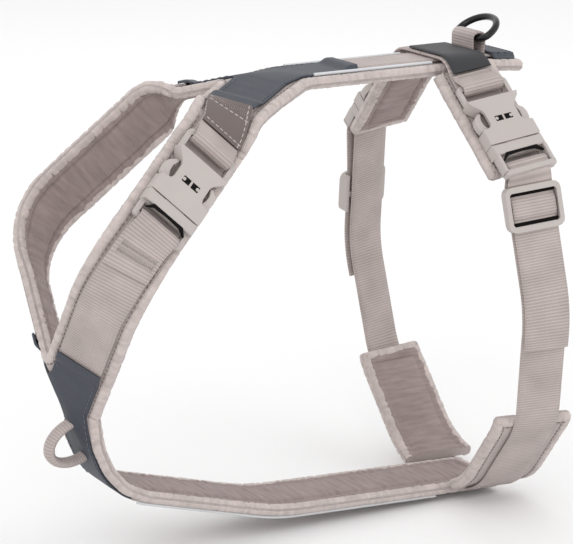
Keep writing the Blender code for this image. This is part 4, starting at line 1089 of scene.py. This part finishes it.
maps = [[(wire * 2 * math.pi * k / sides, i * MM) for k in range(sides)] for i in range(len(rings))]
keep(skin("d_ring_bent", rings, maps, [0] * sides, ["ring"], closed=True), "ring", ["d_ring"], "ring")
print("ring wire", RING_WIRE / MM, "mm")

# %% [markdown]
# All that holds a harness is thread: rows of lockstitch beside every edge, and dense zigzag bartacks
# where a load pulls. A stitch is a little bead of thread, so one Geometry Nodes tree walks along each
# seam and puts a bead on it at every stitch. A bartack is one thread that goes to and fro, so a second
# tree gives a zigzag path its thickness.


# %% Stitch and bartack trees
def tree_input(tree, label, kind, value=None):
    socket = tree.interface.new_socket(label, in_out="INPUT", socket_type=kind)
    if value is not None:
        socket.default_value = value
    return socket.identifier


def new_tree(name):
    tree = bpy.data.node_groups.new(name, "GeometryNodeTree")
    tree.interface.new_socket("Geometry", in_out="INPUT", socket_type="NodeSocketGeometry")
    tree.interface.new_socket("Geometry", in_out="OUTPUT", socket_type="NodeSocketGeometry")
    return tree


stitch_tree = new_tree("lockstitch")
stitch_inputs = {
    "Pitch": tree_input(stitch_tree, "Pitch", "NodeSocketFloat", 3 * MM),
    "Length": tree_input(stitch_tree, "Length", "NodeSocketFloat", 2.3 * MM),
    "Thickness": tree_input(stitch_tree, "Thickness", "NodeSocketFloat", 0.3 * MM),
    "Thread": tree_input(stitch_tree, "Thread", "NodeSocketMaterial"),
}
add = stitch_tree.nodes.new
given, result = add("NodeGroupInput"), add("NodeGroupOutput")
path, dots, bead = add("GeometryNodeMeshToCurve"), add("GeometryNodeCurveToPoints"), add("GeometryNodeMeshUVSphere")
dots.mode = "LENGTH"
bead.inputs["Segments"].default_value, bead.inputs["Rings"].default_value, bead.inputs["Radius"].default_value = 6, 5, 0.5
size, put, real, dye, soft = (add(kind) for kind in (
    "ShaderNodeCombineXYZ", "GeometryNodeInstanceOnPoints", "GeometryNodeRealizeInstances", "GeometryNodeSetMaterial",
    "GeometryNodeSetShadeSmooth"))
double = add("ShaderNodeMath")
double.operation = "MULTIPLY"
double.inputs[1].default_value = 2
for source, target in (
    (given.outputs["Geometry"], path.inputs["Mesh"]), (path.outputs["Curve"], dots.inputs["Curve"]),
    (given.outputs["Pitch"], dots.inputs["Length"]), (dots.outputs["Points"], put.inputs["Points"]),
    (dots.outputs["Rotation"], put.inputs["Rotation"]), (bead.outputs["Mesh"], put.inputs["Instance"]),
    (given.outputs["Thickness"], double.inputs[0]), (double.outputs[0], size.inputs["X"]),
            (double.outputs[0], size.inputs["Y"]),
    (given.outputs["Length"], size.inputs["Z"]), (size.outputs["Vector"], put.inputs["Scale"]),
    (put.outputs["Instances"], real.inputs["Geometry"]), (real.outputs["Geometry"], soft.inputs["Geometry"]),
    (soft.outputs["Geometry"], dye.inputs["Geometry"]), (given.outputs["Thread"], dye.inputs["Material"]),
    (dye.outputs["Geometry"], result.inputs["Geometry"]),
):
    link(stitch_tree, source, target)

tack_tree = new_tree("bartack")
tack_inputs = {"Thickness": tree_input(tack_tree, "Thickness", "NodeSocketFloat", 0.3 * MM),
               "Thread": tree_input(tack_tree, "Thread", "NodeSocketMaterial")}
add = tack_tree.nodes.new
given, result = add("NodeGroupInput"), add("NodeGroupOutput")
path, ring_shape, tube, real, dye, soft = (add(kind) for kind in (
    "GeometryNodeMeshToCurve", "GeometryNodeCurvePrimitiveCircle", "GeometryNodeCurveToMesh",
            "GeometryNodeRealizeInstances",
    "GeometryNodeSetMaterial", "GeometryNodeSetShadeSmooth"))
ring_shape.inputs["Resolution"].default_value = 6
tube.inputs["Fill Caps"].default_value = True
for source, target in (
    (given.outputs["Geometry"], path.inputs["Mesh"]), (path.outputs["Curve"], tube.inputs["Curve"]),
    (given.outputs["Thickness"], ring_shape.inputs["Radius"]),
            (ring_shape.outputs["Curve"], tube.inputs["Profile Curve"]),
    (tube.outputs["Mesh"], real.inputs["Geometry"]), (real.outputs["Geometry"], soft.inputs["Geometry"]),
    (soft.outputs["Geometry"], dye.inputs["Geometry"]), (given.outputs["Thread"], dye.inputs["Material"]),
    (dye.outputs["Geometry"], result.inputs["Geometry"]),
):
    link(tack_tree, source, target)


def sew(name, paths, tree, inputs, values, body="root", across=None):
    """Runs a tree along open paths and keeps the thread as a plain mesh."""
    mesh = bpy.data.meshes.new(name)
    points, edges = [], []
    for path in paths:
        edges += [(len(points) + k, len(points) + k + 1) for k in range(len(path) - 1)]
        points += path
    mesh.from_pydata(points, edges, [])
    obj = bpy.data.objects.new(name, mesh)
    bpy.context.scene.collection.objects.link(obj)
    modifier = obj.modifiers.new("thread", "NODES")
    modifier.node_group = tree
    for label, value in values.items():
        modifier[inputs[label]] = value
    return keep(plain(obj), body, slot="thread", across=across)


def strap_row(route, start, end, u, n, step=1.5 * MM):
    count = max(2, round(abs(end - start) / step))
    return [route.place(start + (end - start) * k / count, u, n) for k in range(count + 1)]


def zigzag(route, at, half, n, depth=2.2 * MM, pitch=0.55 * MM):
    """A bartack across a strap: thread to and fro along it."""
    count = round(2 * half / pitch)
    return [route.place(at + (depth / 2 if k % 2 else -depth / 2), half - 2 * half * k / count, n)
            for k in range(count + 1)]


# %% [markdown]
# Rows of stitches: beside the binding on its outer face, with a dark row of beads on both faces that paints the shadow
# at the binding's inner edge, along the webbing that is sewn down, round the slate facings in grey, across the brown
# tape, and bartacks at each loop and turn.

# %% Seams
high = LAYER_1 + WEBBING_THICK / 2 + 0.05 * MM
rim = WEBBING_WIDTH / 2 - 2 * MM
for route, start, end in ((neck[RIGHT], YOKE_LEGS[RIGHT] + 1 * MM, neck[RIGHT].length - 48 * MM),
                          (back, 60 * MM, back.length - 30 * MM),
                          (belly, 62 * MM, belly.length - 4 * MM)):
    for u in (-rim, rim):
        seam_paths["thread"].append(strap_row(route, start, end, u, high))
FACING_TOP = PAD_THICK + 0.2 * MM + PATCH_THICK + 0.1 * MM
for label, trunk_end in (("yoke_patch", YOKE_TRUNK), ("chest_patch", CHEST_TRUNK)):
    ends = YOKE_LEGS if label == "yoke_patch" else CHEST_LEGS
    for side in (LEFT, RIGHT):
        for row in (facings[label].outer(trunk_end - 12 * MM, ends[side] - 11 * MM, side, 1.8 * MM),
                    facings[label].inner(ends[side] - 11 * MM, side, 1.8 * MM)):
            path = even_path(row, 1.5 * MM, False, 2)
            seam_paths["grey_thread"].append([p + o * FACING_TOP for p, o in path])
half = (BACK_PAD_WIDTH - PATCH_MARGIN) / 2 - 1.8 * MM
for u in (-half + 3 * MM, half - 3 * MM):
    seam_paths["grey_thread"].append(strap_row(back, ahead + 1 * MM, behind - 6 * MM, u,
                                               rear_height(u) + PATCH_THICK + 0.1 * MM))
seam_paths["grey_thread"].append([back.place(behind - 2 * MM, half * (2 * k / 10 - 1) * 0.7,
                                             PATCH_BASE + PATCH_THICK + 0.1 * MM) for k in range(11)])
tab_start, tab_end = tab_line[0][0], tab_line[1][0]
tab_top = LAYER_2 + WEBBING_THICK / 2 + 0.02 * MM
for at in (tab_end - 2 * MM, tab_start + (tab_end - tab_start) * 0.35):
    seam_paths["thread"].append([neck[LEFT].place(at, rim * (2 * k / 12 - 1), tab_top) for k in range(13)])
seam_paths["thread"].append(strap_row(neck[LEFT], tab_start + 1 * MM, tab_end - 1 * MM, rim, tab_top))
# The dark rows of painted gap shadow are sewn here as beads too, like the stitches.
for name, paths in seam_paths.items():
    sew(f"{name}_rows", paths, stitch_tree, stitch_inputs,
        {"Pitch": 3 * MM, "Length": 2.4 * MM, "Thickness": 0.3 * MM, "Thread": looks[name]})

tacks, top_high = [], LAYER_2 + WEBBING_THICK / 2 + 0.1 * MM
for side in (LEFT, RIGHT):
    route = girth[side]
    at = route.straight[1][0] + 5 * MM
    tacks += [zigzag(route, at + k * 4 * MM, 11 * MM, top_high + 0.35 * MM) for k in range(2)]
    tacks += [zigzag(route, route.length - centre - 12 * MM, 11 * MM, high)]
for at in (YOKE_LEGS[LEFT] + 4 * MM,):
    tacks.append(zigzag(neck[LEFT], at, 10.5 * MM, tab_top))
for k in (-1, 1):
    tacks += [zigzag(back, bar_at + k * 4.6 * MM, 9 * MM, LAYER_1 + WEBBING_THICK / 2 + 0.2 * MM, 1.6 * MM)]
sew("bartacks", tacks, tack_tree, tack_inputs, {"Thickness": 0.28 * MM, "Thread": looks["thread"]})
plug_tacks = [zigzag(neck[LEFT], neck_mouth + plug_bar + d * MM, 10.8 * MM, top_high) for d in (12, 15)]
sew("neck_end_bartack", plug_tacks, tack_tree, tack_inputs, {"Thickness": 0.28 * MM, "Thread": looks["thread"]},
    across=pieces["neck_webbing_left_sewn"][5])
print({n: len(o[0].data.polygons) for n, o in pieces.items() if "rows" in n or "tack" in n})

# %% [markdown]
# The floor is a wide pale disc, just below the lowest point of the harness. It is large enough that its
# rim lies far behind the harness, and the white world carries on above it.

# %% Floor
FLOOR_GAP, FLOOR_RADIUS, PAPER = 0.5 * MM, 6, (0.9, 0.9, 0.9, 1)
low_z = min(min((v.co.z for v in o[0].data.vertices), default=0) for o in pieces.values())
floor_z = low_z - FLOOR_GAP
bm = bmesh.new()
bmesh.ops.create_circle(bm, cap_ends=True, radius=FLOOR_RADIUS, segments=64)
bmesh.ops.translate(bm, vec=(0, 0, floor_z), verts=bm.verts)
floor_mesh = bpy.data.meshes.new("floor")
bm.to_mesh(floor_mesh)
bm.free()
paper = bpy.data.materials.new("studio_paper")
paper.use_nodes = True
paper.node_tree.nodes["Principled BSDF"].inputs["Base Color"].default_value = PAPER
paper.node_tree.nodes["Principled BSDF"].inputs["Roughness"].default_value = 0.9
floor_mesh.materials.append(paper)
floor = bpy.data.objects.new("floor", floor_mesh)
bpy.context.scene.collection.objects.link(floor)

# %% [markdown]
# Every piece moves with the body that it is sewn or moulded to. Webbing that is looped on a plug, and the
# bartack on it, is left where it lies, on no body.

# %% What moves with what
for name, (obj, body, nodes, slot, fill, across) in pieces.items():
    if across:
        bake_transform(obj)
    else:
        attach(obj, body)
    if nodes:
        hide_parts(*nodes)
